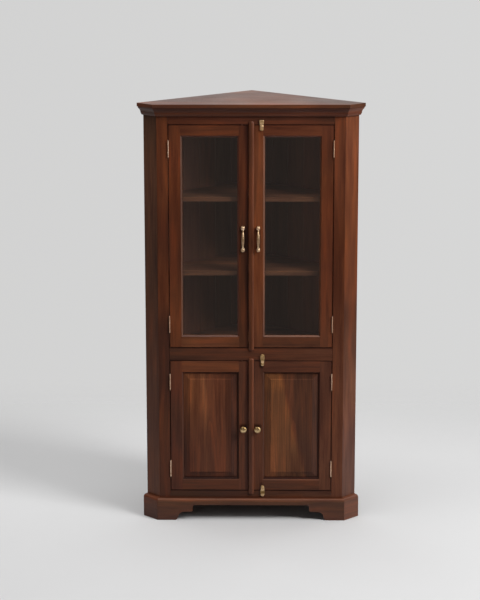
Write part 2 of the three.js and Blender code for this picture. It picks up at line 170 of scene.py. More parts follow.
def wood(name, base, grain="z", seed=1.0, streak=1.0, fine=1.0, rings=0.0, ring_mm=7.0, taper=0.02, depth=0.03,
         centre=0.0, rough=0.37, coat=0.04, spec=0.17, patch=1.0, regions=None, warm=(1.25, 1.06, 0.92),
         cool=(0.62, 0.58, 0.62), outside=None, boards=None, fade=None, fade_axis="z", lines=(), painted_shadows=()):
    """Lacquered hardwood. base is the linear middle colour. rings adds arched annual figure: centre is the
    across position of the heart in metres in grain space before the seed move, regions is a function that
    adds the tone zones of a glued-up panel, with painted light and shade on its slopes and on the bead."""
    m, t, out = new_material(name)
    tc, v = grain_space(t, grain, seed)
    # slow waves carry the lines to and fro
    wave = noise(t, scaled(t, v, 1.5, 6.0, 6.0), 1.0, 1.0, 0.5, colour=True)
    wave_c = add(t, "ShaderNodeVectorMath", {"operation": "SUBTRACT"}, i0=wave, i1=(0.5, 0.5, 0.5)).outputs[0]
    wave_s = add(t, "ShaderNodeVectorMath", {"operation": "MULTIPLY"}, i0=wave_c, i1=(0.0, 0.045, 0.045)).outputs[0]
    w = add(t, "ShaderNodeVectorMath", {"operation": "ADD"}, i0=v, i1=wave_s).outputs[0]

    broad = noise(t, scaled(t, w, 1.3, 8.0, 8.0), 1.0, 2.0, 0.5)
    band = noise(t, scaled(t, w, 3.2, 34.0, 34.0), 1.0, 2.0, 0.5)
    line = noise(t, scaled(t, w, 5.5, 120.0, 120.0), 1.0, 3.0, 0.55)
    fibre = noise(t, scaled(t, w, 16.0, 620.0, 620.0), 1.0, 2.0, 0.6)
    pore = noise(t, scaled(t, w, 95.0, 1750.0, 1750.0), 1.0, 1.0, 0.5)

    value = math_node(t, "MULTIPLY_ADD", math_node(t, "SUBTRACT", broad, 0.5), 0.95 * patch, 0.5)
    value = math_node(t, "MULTIPLY_ADD", math_node(t, "SUBTRACT", band, 0.5), 0.85 * streak, value)
    value = math_node(t, "MULTIPLY_ADD", math_node(t, "SUBTRACT", line, 0.5), 0.42 * streak, value)
    value = math_node(t, "MULTIPLY_ADD", math_node(t, "SUBTRACT", fibre, 0.5), 0.26 * fine, value)
    if rings:
        sep = add(t, "ShaderNodeSeparateXYZ", None, i0=w)
        loc = Vector((seed * 3.171 % 11.0, seed * 1.733 % 7.0, seed * 5.119 % 13.0))
        along = math_node(t, "SUBTRACT", sep.outputs[0], loc[0])
        across = math_node(t, "SUBTRACT", math_node(t, "SUBTRACT", sep.outputs[1], loc[1]), centre)
        if grain == "z":
            across = math_node(t, "SUBTRACT", sep.outputs[1], loc[1])
            # grain turned onto x about y: x stays across the board as local z with its sign kept by the mapping
            across = math_node(t, "ADD", math_node(t, "SUBTRACT", sep.outputs[2], loc[2]), centre)
        deep = math_node(t, "MULTIPLY_ADD", along, taper, depth)
        vec = add(t, "ShaderNodeCombineXYZ", None, i0=0.0, i1=across, i2=deep).outputs[0]
        wv = add(t, "ShaderNodeTexWave", {"wave_type": "RINGS", "rings_direction": "X", "wave_profile": "SAW"},
                 i0=vec, i1=1.0 / (ring_mm * 0.001) / 3.2, i2=1.6, i3=2.0, i4=1.4, i5=0.6)
        ring = math_node(t, "SUBTRACT", wv.outputs[1], 0.5)
        value = math_node(t, "MULTIPLY_ADD", ring, 0.12 * rings, value)

    dark = tuple(c * k * 0.62 for c, k in zip(base, cool))
    mid_dark = tuple(c * k for c, k in zip(base, (0.74, 0.68, 0.70)))
    mid = tuple(base)
    light = tuple(c * k * 1.18 for c, k in zip(base, warm))
    top = tuple(c * k * 1.75 for c, k in zip(base, warm))
    colour = ramp(t, value, [(0.10, dark), (0.36, mid_dark), (0.52, mid), (0.70, light), (0.95, top)])

    if fade:
        # slow change of tone along the board: (metres, red, green, blue factors)
        fs = add(t, "ShaderNodeSeparateXYZ", None, i0=tc.outputs["Object"])
        lo, hi = fade[0][0], fade[-1][0]
        pos = remap(t, fs.outputs[2 if fade_axis == "z" else 0], lo, hi, 0.0, 1.0)
        amount = ramp(t, pos, [((a - lo) / (hi - lo), (kr * 0.3, kg * 0.3, kb * 0.3)) for a, kr, kg, kb in fade], "EASE")
        colour = mix(t, 1.0, colour, amount, "MULTIPLY")
        colour = mix(t, 1.0, colour, (3.3333, 3.3333, 3.3333), "MULTIPLY")
    if lines:
        # straight bands: painted shade along gaps and edges, painted highlights on arrises, and tone bands: (axis,
        # place, half width, soft edge, colour factors), metres
        ls = add(t, "ShaderNodeSeparateXYZ", None, i0=tc.outputs["Object"])
        for axis, place_at, half, soft, k in lines:
            off = math_node(t, "ABSOLUTE", math_node(t, "SUBTRACT", ls.outputs["xyz".index(axis)], place_at))
            on = remap(t, off, half - soft, half + soft, 1.0, 0.0, True)
            colour = mix(t, on, colour, mix(t, 1.0, colour, k, "MULTIPLY"))
    for gx, gz, half_x, half_z, reach, k in painted_shadows:
        # painted shadow round a fitting, for the knobs with their dark reflection in the lacquer too: darkest against
        # it, gone at reach metres from it
        gs = add(t, "ShaderNodeSeparateXYZ", None, i0=tc.outputs["Object"])
        dx = math_node(t, "MAXIMUM", math_node(t, "SUBTRACT", math_node(t, "ABSOLUTE", math_node(t, "SUBTRACT", gs.outputs[0], gx)), half_x), 0.0)
        dz = math_node(t, "MAXIMUM", math_node(t, "SUBTRACT", math_node(t, "ABSOLUTE", math_node(t, "SUBTRACT", gs.outputs[2], gz)), half_z), 0.0)
        far = add(t, "ShaderNodeVectorMath", {"operation": "LENGTH"}, i0=add(t, "ShaderNodeCombineXYZ", None, i0=dx, i1=dz).outputs[0]).outputs[1]
        on = math_node(t, "MULTIPLY", remap(t, far, 0.0, reach, 1.0, 0.0, True), remap(t, gs.outputs[1], -0.240, -0.236, 1.0, 0.0))
        colour = mix(t, on, colour, mix(t, 1.0, colour, k, "MULTIPLY"))
    if regions is not None:
        colour = regions(t, tc.outputs["Object"], w, colour)
    if boards is not None:
        colour = boards(t, tc.outputs["Object"], colour)
    # open pores, darker and a little sunk
    pores = remap(t, pore, 0.60, 0.70, 0.0, 1.0)
    colour = mix(t, math_node(t, "MULTIPLY", pores, 0.40), colour, tuple(c * 0.25 for c in base))
    # handling marks and slightly uneven polish
    marks = noise(t, scaled(t, v, 5.0, 5.0, 5.0), 1.0, 4.0, 0.6)
    colour = mix(t, remap(t, marks, 0.55, 0.80, 0.0, 0.30), colour, tuple(c * 0.55 for c in base), "MIX")

    roughness = remap(t, math_node(t, "MULTIPLY_ADD", pores, 0.6, marks), 0.25, 1.0, rough - 0.05, rough + 0.17)
    if outside is not None:
        colour, roughness = outside(t, tc.outputs["Object"], v, colour, roughness)
    height = math_node(t, "MULTIPLY_ADD", pores, -0.8, math_node(t, "MULTIPLY_ADD", fibre, 0.8, math_node(t, "MULTIPLY", line, 0.7)))
    bump = add(t, "ShaderNodeBump", None, Strength=0.35, Distance=0.00022, Height=height).outputs[0]

    p = add(t, "ShaderNodeBsdfPrincipled", None, Base_Color=colour, Roughness=roughness, Normal=bump)
    p.inputs["Specular IOR Level"].default_value = spec
    p.inputs["Coat Weight"].default_value = coat
    p.inputs["Coat Roughness"].default_value = 0.24
    t.links.new(p.outputs[0], out.inputs[0])
    return m


# ------------------------------------------------------------------ brass, glass
def brass(name, seed=1.0, base=(0.60, 0.42, 0.215), rough=0.25, metal=1.0, patina_and_light=None, outer=None):
    """the list of stops is (z in mm, factor) from low to high: partly dull brown tarnish in the hollows, partly painted
    highlight and shade.
    """
    m, t, out = new_material(name)
    tc = add(t, "ShaderNodeTexCoord")
    v = scaled(t, tc.outputs["Object"], 1.0, 1.0, 1.0, (seed, seed * 0.7, seed * 1.3))
    cloud = noise(t, v, 130.0, 3.0, 0.6)
    speck = noise(t, v, 900.0, 2.0, 0.5)
    scratch = noise(t, scaled(t, v, 260.0, 260.0, 3400.0), 1.0, 2.0, 0.5)
    tone = math_node(t, "MULTIPLY_ADD", math_node(t, "SUBTRACT", speck, 0.5), 0.35, cloud)
    colour = ramp(t, tone, [(0.30, tuple(c * k for c, k in zip(base, (0.58, 0.52, 0.42)))), (0.50, base),
                            (0.72, tuple(min(1.0, c * k) for c, k in zip(base, (1.16, 1.17, 1.2))))])
    if patina_and_light:
        ps = add(t, "ShaderNodeSeparateXYZ", None, i0=tc.outputs["Object"])
        lo, hi = patina_and_light[0][0], patina_and_light[-1][0]
        pos = remap(t, ps.outputs[2], lo * 0.001, hi * 0.001, 0.0, 1.0)
        tint = ramp(t, pos, [((a - lo) / (hi - lo), (0.5 * k, 0.5 * k ** 1.12, 0.5 * k ** 1.45)) for a, k in patina_and_light])
        colour = mix(t, 1.0, mix(t, 1.0, colour, tint, "MULTIPLY"), (2.0, 2.0, 2.0), "MULTIPLY")
    if outer:
        # painted shade on the far side: brown beyond this distance from the middle of the cupboard
        xs = add(t, "ShaderNodeSeparateXYZ", None, i0=tc.outputs["Object"])
        on = remap(t, math_node(t, "ABSOLUTE", xs.outputs[0]), outer, outer + 0.0012, 0.0, 1.0, True)
        colour = mix(t, on, colour, mix(t, 1.0, colour, (0.46, 0.36, 0.28), "MULTIPLY"))
    roughness = remap(t, math_node(t, "MULTIPLY_ADD", scratch, 0.5, cloud), 0.4, 1.1, rough + 0.14, rough - 0.03)
    bump = add(t, "ShaderNodeBump", None, Strength=0.25, Distance=0.00008,
               Height=math_node(t, "MULTIPLY_ADD", scratch, 0.4, speck)).outputs[0]
    p = add(t, "ShaderNodeBsdfPrincipled", None, Base_Color=colour, Roughness=roughness, Normal=bump)
    p.inputs["Metallic"].default_value = metal
    t.links.new(p.outputs[0], out.inputs[0])
    return m


def clear_glass(name):
    m, t, out = new_material(name)
    tc = add(t, "ShaderNodeTexCoord")
    haze = noise(t, tc.outputs["Object"], 7.0, 3.0, 0.6)
    rough = remap(t, haze, 0.3, 0.8, 0.02, 0.07)
    ripple = noise(t, tc.outputs["Object"], 9.0, 1.0, 0.5)
    bump = add(t, "ShaderNodeBump", None, Strength=0.06, Distance=0.0012, Height=ripple).outputs[0]
    clear = add(t, "ShaderNodeBsdfTransparent", None, i0=(0.93, 0.95, 0.94, 1.0))
    gloss = add(t, "ShaderNodeBsdfGlossy", None, i0=(1.0, 1.0, 1.0, 1.0))
    t.links.new(rough, gloss.inputs["Roughness"])
    t.links.new(bump, gloss.inputs["Normal"])
    # the same share is mirrored on both faces of the pane, 4 % square on and rising at a slant
    facing = add(t, "ShaderNodeLayerWeight", None, i0=0.5).outputs[1]
    share = math_node(t, "MULTIPLY_ADD", math_node(t, "POWER", facing, 5.0), 0.96, 0.04)
    both = add(t, "ShaderNodeMixShader", None, i0=share, i1=clear.outputs[0], i2=gloss.outputs[0])
    t.links.new(both.outputs[0], out.inputs[0])
    return m


# ------------------------------------------------------------------ mesh helpers
def finish_mesh(me, smooth_angle=None):
    bm = bmesh.new()
    bm.from_mesh(me)
    bmesh.ops.recalc_face_normals(bm, faces=bm.faces)
    for f in bm.faces:
        f.smooth = smooth_angle is not None
    if smooth_angle is not None:
        limit = math.radians(smooth_angle)
        for e in bm.edges:
            e.smooth = len(e.link_faces) == 2 and e.calc_face_angle(0.0) < limit
    bm.to_mesh(me)
    bm.free()


def place(obj, body, replaces=()):
    bpy.context.scene.collection.objects.link(obj)
    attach(obj, body)
    if replaces:
        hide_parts(*([replaces] if isinstance(replaces, str) else replaces))
    return obj


def bevel(obj, width_mm, segments=2, angle=40.0):
    b = obj.modifiers.new("edges", "BEVEL")
    b.width = width_mm * 0.001
    b.segments = segments
    b.limit_method = "ANGLE"
    b.angle_limit = math.radians(angle)
    b.use_clamp_overlap = True
    b.miter_outer = "MITER_ARC"
    return b


def piece(name, shells, body, material, replaces=(), smooth_angle=None, width=0.0, segments=2):
    """One object made of closed shells, each (vertices in mm, faces)."""
    verts, faces = [], []
    for vs, fs in shells:
        n = len(verts)
        verts += [pt(*v) for v in vs]
        faces += [[i + n for i in f] for f in fs]
    me = bpy.data.meshes.new(name)
    me.from_pydata(verts, [], faces)
    finish_mesh(me, smooth_angle)
    me.materials.append(material)
    obj = bpy.data.objects.new(name, me)
    place(obj, body, replaces)
    if width:
        bevel(obj, width, segments)
    return obj


def loft(rings, closed_ends=True):
    """Shell through rings of equal length; a ring of one point is a pole."""
    vs, fs, start = [], [], []
    for r in rings:
        start.append(len(vs))
        vs += list(r)
    for k in range(len(rings) - 1):
        a, b, na, nb = start[k], start[k + 1], len(rings[k]), len(rings[k + 1])
        n = max(na, nb)
        for i in range(n):
            j = (i + 1) % n
            if na == 1:
                fs.append([a, b + i, b + j])
            elif nb == 1:
                fs.append([a + i, a + j, b])
            else:
                fs.append([a + i, a + j, b + j, b + i])
    if closed_ends:
        if len(rings[0]) > 1:
            fs.append([start[0] + i for i in range(len(rings[0]))][::-1])
        if len(rings[-1]) > 1:
            fs.append([start[-1] + i for i in range(len(rings[-1]))])
    return vs, fs


def turned(profile, x, z, segments=40, axis="y", y=0.0):
    """Round shell about a line parallel to y through (x, z), or to z through (x, y); profile is (radius, along)."""
    rings = []
    for r, u in profile:
        if axis == "y":
            rings.append([(x, u, z)] if r <= 1e-6 else
                         [(x + r * math.cos(2 * math.pi * i / segments), u, z + r * math.sin(2 * math.pi * i / segments)) for i in range(segments)])
        else:
            rings.append([(x, y, u)] if r <= 1e-6 else
                         [(x + r * math.cos(2 * math.pi * i / segments), y + r * math.sin(2 * math.pi * i / segments), u) for i in range(segments)])
    return loft(rings)


def box_shell(x0, x1, y0, y1, z0, z1):
    vs = [(x, y, z) for x in (x0, x1) for y in (y0, y1) for z in (z0, z1)]
    return vs, [[0, 1, 3, 2], [4, 6, 7, 5], [0, 4, 5, 1], [2, 3, 7, 6], [0, 2, 6, 4], [1, 5, 7, 3]]


def arc(cx, cy, r, a0, a1, n):
    return [(cx + r * math.cos(math.radians(a0 + (a1 - a0) * i / n)), cy + r * math.sin(math.radians(a0 + (a1 - a0) * i / n))) for i in range(n + 1)]


def cad_copy(node):
    """The node's solid as an editable copy with merged corners and whole flat faces."""
    bm = bmesh.new()
    bm.from_mesh(NODES[node].data)
    bmesh.ops.remove_doubles(bm, verts=bm.verts, dist=2e-6)
    bmesh.ops.dissolve_limit(bm, angle_limit=math.radians(0.4), verts=bm.verts, edges=bm.edges, delimit=set())
    return bm


def keep_node(node, material, width=0.0, segments=2):
    """A CAD node that stays: its own mesh, a better finish, and eased edges."""
    o = NODES[node]
    o.data.materials.clear()
    o.data.materials.append(material)
    if width:
        wd = o.modifiers.new("joined", "WELD")
        wd.merge_threshold = 2e-6
        bevel(o, width, segments)
    return o


# ------------------------------------------------------------------ tones
# middle colours of the pieces, linear
CASE = (0.140, 0.0420, 0.0170)
FRAME = (0.140, 0.0415, 0.0165)
DOOR = (0.142, 0.0420, 0.0165)
INSIDE = (0.150, 0.0600, 0.0310)


def toned(base, k, r=1.0, g=1.0, b=1.0):
    return (base[0] * k * r, base[1] * k * g, base[2] * k * b)


# painted shade along the gaps round the doors, on the frame and door faces beside each gap
GAP_SHADE = (0.42, 0.34, 0.30)
JOINTS = [("x", -0.36375, 0.0028, 0.0016, GAP_SHADE), ("x", 0.36375, 0.0028, 0.0016, GAP_SHADE)]
JOINT_TOP = ("z", 1.8070, 0.0030, 0.0016, GAP_SHADE)
JOINT_MID_UPPER = ("z", 0.8034, 0.0034, 0.0016, GAP_SHADE)
JOINT_MID_LOWER = ("z", 0.7434, 0.0026, 0.0014, GAP_SHADE)
JOINT_LOW = ("z", 0.1350, 0.0030, 0.0016, GAP_SHADE)


# ------------------------------------------------------------------ case boards
def back_boards(t, obj, colour):
    """Each upright board of the back has its own tone; the boards lie side by side along the wall."""
    sep = add(t, "ShaderNodeSeparateXYZ", None, i0=obj)
    ax = math_node(t, "ABSOLUTE", sep.outputs[0])
    # distance along the wall from the end of the return
    y = math_node(t, "ADD", sep.outputs[1], Y0 * 0.001)
    along = math_node(t, "MULTIPLY", math_node(t, "SUBTRACT", y, ax), R2)
    along = math_node(t, "SUBTRACT", along, (60.0 - 475.0) * 0.001 * R2 + 0.0224)
    index = math_node(t, "FLOOR", math_node(t, "DIVIDE", along, 0.10065))
    pick = add(t, "ShaderNodeTexWhiteNoise", {"noise_dimensions": "1D"}, i1=math_node(t, "ADD", index, 3.7)).outputs[0]
    tint = ramp(t, pick, [(0.0, (0.78, 0.95, 0.98)), (0.5, (1.0, 0.98, 0.98)), (1.0, (1.30, 1.0, 0.98))])
    return mix(t, 1.0, colour, tint, "MULTIPLY")


def raw_outside(t, obj, v, colour, roughness):
    """The faces against the walls are unfinished: paler, dusty and sawn."""
    sep = add(t, "ShaderNodeSeparateXYZ", None, i0=obj)
    ax = math_node(t, "ABSOLUTE", sep.outputs[0])
    d = math_node(t, "ADD", math_node(t, "ADD", sep.outputs[1], Y0 * 0.001), ax)
    mask = remap(t, d, 0.5335, 0.5345, 0.0, 1.0)
    saw = noise(t, scaled(t, v, 210.0, 4.0, 4.0), 1.0, 2.0, 0.5)
    dust = noise(t, scaled(t, v, 3.0, 14.0, 14.0), 1.0, 4.0, 0.6)
    raw = ramp(t, math_node(t, "MULTIPLY_ADD", math_node(t, "SUBTRACT", saw, 0.5), 0.5, dust),
               [(0.25, (0.085, 0.052, 0.034)), (0.5, (0.150, 0.094, 0.060)), (0.8, (0.225, 0.152, 0.102))])
    colour = mix(t, mask, colour, raw)
    rough = math_node(t, "MULTIPLY_ADD", mask, 0.42, roughness, clamp=True)
    return colour, rough


keep_node("back_panel_right", wood("back_right_wood", toned(INSIDE, 0.95), "z", 11.3, rings=0.15, streak=0.45, fine=0.6, patch=0.5, rough=0.50, coat=0.0, spec=0.35, outside=raw_outside, boards=back_boards))
keep_node("back_panel_left", wood("back_left_wood", toned(INSIDE, 0.90), "z", 17.9, rings=0.15, streak=0.45, fine=0.6, patch=0.5, rough=0.50, coat=0.0, spec=0.35, outside=raw_outside, boards=back_boards))
keep_node("back_corner_post", wood("post_wood", toned(INSIDE, 1.0), "z", 5.2, rough=0.55, coat=0.0, spec=0.35), 1.2)
keep_node("middle_deck", wood("deck_wood", toned(INSIDE, 1.0), "0", 8.1, rings=0.7, rough=0.48, coat=0.05), 0.8)
keep_node("bottom_board", wood("bottom_wood", toned(INSIDE, 0.95), "0", 9.4, rings=0.7, rough=0.50, coat=0.05), 0.8)
keep_node("lower_shelf", wood("lower_shelf_wood", toned(INSIDE, 0.98), "0", 3.6, rings=0.7, rough=0.48, coat=0.05), 1.0)
keep_node("upper_shelf_high", wood("shelf_high_wood", toned(INSIDE, 1.15), "0", 2.3, rings=0.6, rough=0.42, coat=0.1, fade_axis="x",
          fade=[(-0.30, 0.72, 0.76, 0.84), (-0.10, 0.80, 0.84, 0.92), (0.10, 1.05, 1.00, 0.98), (0.25, 1.20, 1.16, 1.08)]), 1.0)
keep_node("upper_shelf_low", wood("shelf_low_wood", toned(INSIDE, 1.15), "0", 6.7, rings=0.6, rough=0.42, coat=0.1), 1.0)
keep_node("top_board", wood("top_wood", toned(CASE, 0.86, 1.0, 1.05, 0.95), "0", 4.4, rings=0.6, ring_mm=9.0, rough=0.30, coat=0.06, spec=0.35,
          lines=[("x", -0.31, 0.15, 0.10, (0.71, 0.64, 0.66)), ("x", 0.36, 0.11, 0.06, (0.66, 0.70, 0.78)), ("x", 0.03, 0.10, 0.09, (1.12, 1.10, 1.10))]), 0.9, 2)
# the left stile carries a painted shadow beside each hinge knuckle
keep_node("frame_stile_left", wood("stile_left_wood", toned(FRAME, 0.95), "z", 21.7, rings=0.5, patch=0.4, lines=JOINTS,
          painted_shadows=[(-0.3670, hz, 0.0012, 0.0365, 0.0018, (0.50, 0.42, 0.28)) for hz in (1.701, 0.911, 0.645, 0.239)],
          fade=[(0.05, 0.56, 0.62, 0.82), (0.30, 0.60, 0.72, 0.98), (0.45, 0.74, 0.86, 1.08), (0.62, 0.50, 0.62, 0.95), (0.87, 0.50, 0.60, 0.88),
                (1.06, 1.20, 1.18, 1.10), (1.34, 0.62, 0.60, 0.66), (1.56, 1.15, 1.10, 0.98), (1.80, 1.12, 1.05, 0.90)]), 0.7)
keep_node("frame_stile_right", wood("stile_right_wood", toned(FRAME, 1.02), "z", 25.1, rings=0.5, patch=0.5, lines=JOINTS,
          fade=[(0.05, 1.12, 1.24, 1.45), (0.5, 1.12, 1.30, 1.60), (0.77, 0.98, 1.10, 1.33), (1.1, 0.80, 0.79, 0.82), (1.3, 0.78, 0.73, 0.70), (1.65, 1.05, 1.05, 1.12)]), 0.7)
keep_node("side_return_left", wood("return_left_wood", toned(CASE, 1.0, 0.97, 1.06, 1.0), "z", 31.9, patch=0.5, spec=0.22, coat=0.03,
          fade=[(0.05, 1.12, 1.02, 0.95), (0.36, 1.06, 0.96, 0.90), (0.75, 1.02, 0.96, 0.94), (1.2, 0.76, 0.92, 1.20), (1.55, 1.15, 1.38, 1.82), (1.8, 0.86, 1.13, 1.50)]), 0.7)
# the greyer low stops of its fade are a painted reflection of the floor, over a slow change of tone
keep_node("side_return_right", wood("return_right_wood", toned(CASE, 1.20, 1.05), "z", 34.3, patch=0.5, spec=0.22, coat=0.03,
          fade=[(0.05, 0.72, 1.20, 2.1), (0.22, 0.82, 1.25, 2.0), (0.37, 0.88, 1.20, 1.8), (0.50, 1.15, 1.45, 1.8), (0.60, 1.03, 1.30, 1.5), (0.80, 0.66, 0.77, 0.84),
                (0.96, 0.54, 0.56, 0.52), (1.06, 0.84, 0.80, 0.66), (1.35, 0.95, 0.92, 0.66), (1.75, 1.12, 1.12, 0.96)]), 0.35)
keep_node("frame_rail_top", wood("rail_top_wood", toned(FRAME, 0.93), "0", 41.2, rings=0.4, patch=0.4, fade_axis="x", lines=[JOINT_TOP],
          fade=[(-0.36, 0.90, 0.85, 0.88), (-0.20, 0.96, 0.92, 1.0), (-0.07, 0.82, 0.80, 1.02), (0.065, 0.74, 0.81, 1.02), (0.2, 0.79, 0.84, 1.1), (0.35, 0.64, 0.75, 1.02)]), 0.7)
keep_node("frame_rail_middle", wood("rail_middle_wood", toned(FRAME, 1.0), "0", 45.8, rings=0.4, patch=0.5, fade_axis="x", lines=[JOINT_MID_UPPER, JOINT_MID_LOWER],
          fade=[(-0.33, 0.50, 0.68, 0.98), (-0.1, 0.68, 0.82, 1.12), (0.065, 0.72, 0.84, 1.10), (0.20, 0.80, 0.96, 1.24), (0.33, 1.06, 1.30, 1.70)]), 0.7)
keep_node("frame_rail_bottom", wood("rail_bottom_wood", toned(FRAME, 1.0), "0", 48.3, rings=0.4, patch=0.4, fade_axis="x", lines=[JOINT_LOW],
          fade=[(-0.33, 0.38, 0.53, 0.72), (-0.08, 0.38, 0.49, 0.74), (0.04, 0.56, 0.64, 0.74), (0.15, 0.66, 0.76, 0.88), (0.33, 0.74, 0.90, 1.15)]), 0.7)


# ------------------------------------------------------------------ mouldings
FRONT_HALF, CANT = 415.0, 60.0


def front_end(s):
    return lambda o: (s * (FRONT_HALF + o * TAN - 0.2), -o)


def side_start(s):
    return lambda o: (s * (FRONT_HALF + o * TAN + 0.2 * R2), -o + 0.2 * R2)


def side_end(s):
    return lambda o: (s * (FRONT_HALF + CANT + o * R2), CANT - o * R2)


def run(section, a, b):
    return loft([[(*a(o), z) for o, z in section], [(*b(o), z) for o, z in section]])


UNDER_TOP = 1883.7
cornice = [(0.3, 1844.2), (4.5, 1844.2), (7.0, 1844.7), (9.6, 1846.2), (11.6, 1848.3), (12.9, 1850.6), (13.5, 1853.0), (15.2, 1853.8), (16.0, 1856.4),
           (16.7, 1860.0), (17.0, 1862.8), (18.6, 1864.3), (19.4, 1866.6), (21.2, 1869.2), (23.8, 1871.7), (27.0, 1874.1), (29.8, 1876.7), (31.6, 1879.5), (32.4, UNDER_TOP), (0.3, UNDER_TOP)]
cornice_wood = {
    # the front's fade paints light on the rounded fascia and shade in the cove above it
    "front": wood("cornice_front_wood", toned(CASE, 0.92, 1.0, 1.0, 1.1), "0", 52.6, streak=0.9, patch=0.6, spec=0.28, coat=0.06,
                  fade=[(1.844, 0.95, 0.95, 0.95), (1.852, 1.15, 1.15, 1.15), (1.861, 1.05, 1.05, 1.05), (1.866, 0.80, 0.75, 0.70), (1.884, 0.80, 0.70, 0.65)],
                  lines=[("x", 0.27, 0.18, 0.16, (1.15, 1.15, 1.28))]),
    "left": wood("cornice_left_wood", toned(CASE, 0.62, 1.0, 1.1, 1.2), "45", 55.0, streak=0.9, patch=0.6, spec=0.45, coat=0.12),
    "right": wood("cornice_right_wood", toned(CASE, 1.30, 1.05), "-45", 58.7, streak=0.9, patch=0.6, spec=0.3, coat=0.05),
}
piece("cornice_front_moulding", [run(cornice, front_end(-1), front_end(1))], "cupboard_case", cornice_wood["front"], "cornice_front", 24, 0.3)
piece("cornice_left_moulding", [run(cornice, side_start(-1), side_end(-1))], "cupboard_case", cornice_wood["left"], "cornice_left", 24, 0.3)
piece("cornice_right_moulding", [run(cornice, side_start(1), side_end(1))], "cupboard_case", cornice_wood["right"], "cornice_right", 24, 0.3)

plinth = [(0.3, 0.0), (24.0, 0.0), (24.0, 88.4)]
plinth += [(12.6 + 11.4 * math.cos(math.radians(a)), 88.4 + 13.0 * math.sin(math.radians(a))) for a in range(10, 91, 8)]
plinth += [(6.0, 102.3), (0.3, 103.6)]
arch_half = [(0.0, 71.0), (252.0, 71.0), (258.0, 70.6), (262.2, 68.8), (264.4, 65.0), (265.0, 58.0), (265.4, 49.0), (266.0, 44.0), (268.4, 41.2), (273.0, 40.2),
             (288.0, 39.9), (302.0, 39.4), (309.0, 38.7), (315.0, 37.0), (320.0, 34.3), (324.4, 30.6), (327.6, 26.0), (329.6, 20.5),
             (331.4, 14.0), (333.8, 8.0), (337.6, 3.2), (343.0, 0.4), (346.0, -2.0), (346.0, -12.0), (0.0, -12.0)]


def upright_prism_y(outline, y0, y1):
    """Shell over an outline in x, z, from y0 to y1."""
    return loft([[(x, y0, z) for x, z in outline], [(x, y1, z) for x, z in outline]])


def cut_by(obj, shell):
    """The object's mesh with the shell taken out of it."""
    vs, fs = shell
    me = bpy.data.meshes.new("cutter")
    me.from_pydata([pt(*v) for v in vs], [], fs)
    finish_mesh(me)
    cutter = bpy.data.objects.new("cutter", me)
    bpy.context.scene.collection.objects.link(cutter)
    b = obj.modifiers.new("cut", "BOOLEAN")
    b.operation = "DIFFERENCE"
    b.solver = "EXACT"
    b.object = cutter
    bpy.context.view_layer.update()
    got = bpy.data.meshes.new_from_object(obj.evaluated_get(bpy.context.evaluated_depsgraph_get()))
    obj.modifiers.remove(b)
    bpy.data.objects.remove(cutter)
    bpy.data.meshes.remove(me)
    old = obj.data
    obj.data = got
    bpy.data.meshes.remove(old)
    return obj


plinth_wood = {
    # the front's top stops paint a highlight on the rounded cap and shade on the ledge against the case
    "front": wood("plinth_front_wood", toned(CASE, 1.0), "0", 61.4, patch=0.6, spec=0.35, coat=0.08,
                  fade=[(0.0, 0.74, 0.78, 0.90), (0.062, 0.70, 0.74, 0.66), (0.084, 0.67, 0.76, 0.60), (0.094, 1.15, 1.30, 1.40), (0.0995, 1.1, 1.25, 1.3), (0.1020, 0.42, 0.36, 0.32), (0.104, 0.36, 0.30, 0.26)]),
    "left": wood("plinth_left_wood", toned(CASE, 0.84, 1.0, 0.94, 0.86), "45", 64.9, patch=0.6, spec=0.26, coat=0.04),
    "right": wood("plinth_right_wood", toned(CASE, 0.96, 1.0, 1.05, 1.12), "-45", 67.2, patch=0.6, spec=0.4, coat=0.08),
}
pf = piece("plinth_front_board", [run(plinth, front_end(-1), front_end(1))], "cupboard_case", plinth_wood["front"], "plinth_front", 24)
cut_by(pf, upright_prism_y(arch_half + [(-x, z) for x, z in reversed(arch_half) if x > 0], -60.0, 20.0))
finish_mesh(pf.data, 24)
bevel(pf, 0.5)
piece("plinth_left_board", [run(plinth, side_start(-1), side_end(-1))], "cupboard_case", plinth_wood["left"], "plinth_left", 24, 0.5)
piece("plinth_right_board", [run(plinth, side_start(1), side_end(1))], "cupboard_case", plinth_wood["right"], "plinth_right", 24, 0.5)


# ------------------------------------------------------------------ doors
CH = 6.5
DOORS = {"upper": {"z": (806.0, 1806.0), "sight": (860.5, 1753.0)}, "lower": {"z": (137.0, 742.0), "sight": (195.0, 685.0)}}
SIGHT_IN, SIGHT_OUT = 60.5, 304.0
HINGE_X, HINGE_Y, HINGE_L = 363.75, -4.3, 74.0
HINGE_Z = {"upper": {"top": 1701.0, "bottom": 911.0}, "lower": {"top": 645.0, "bottom": 239.0}}


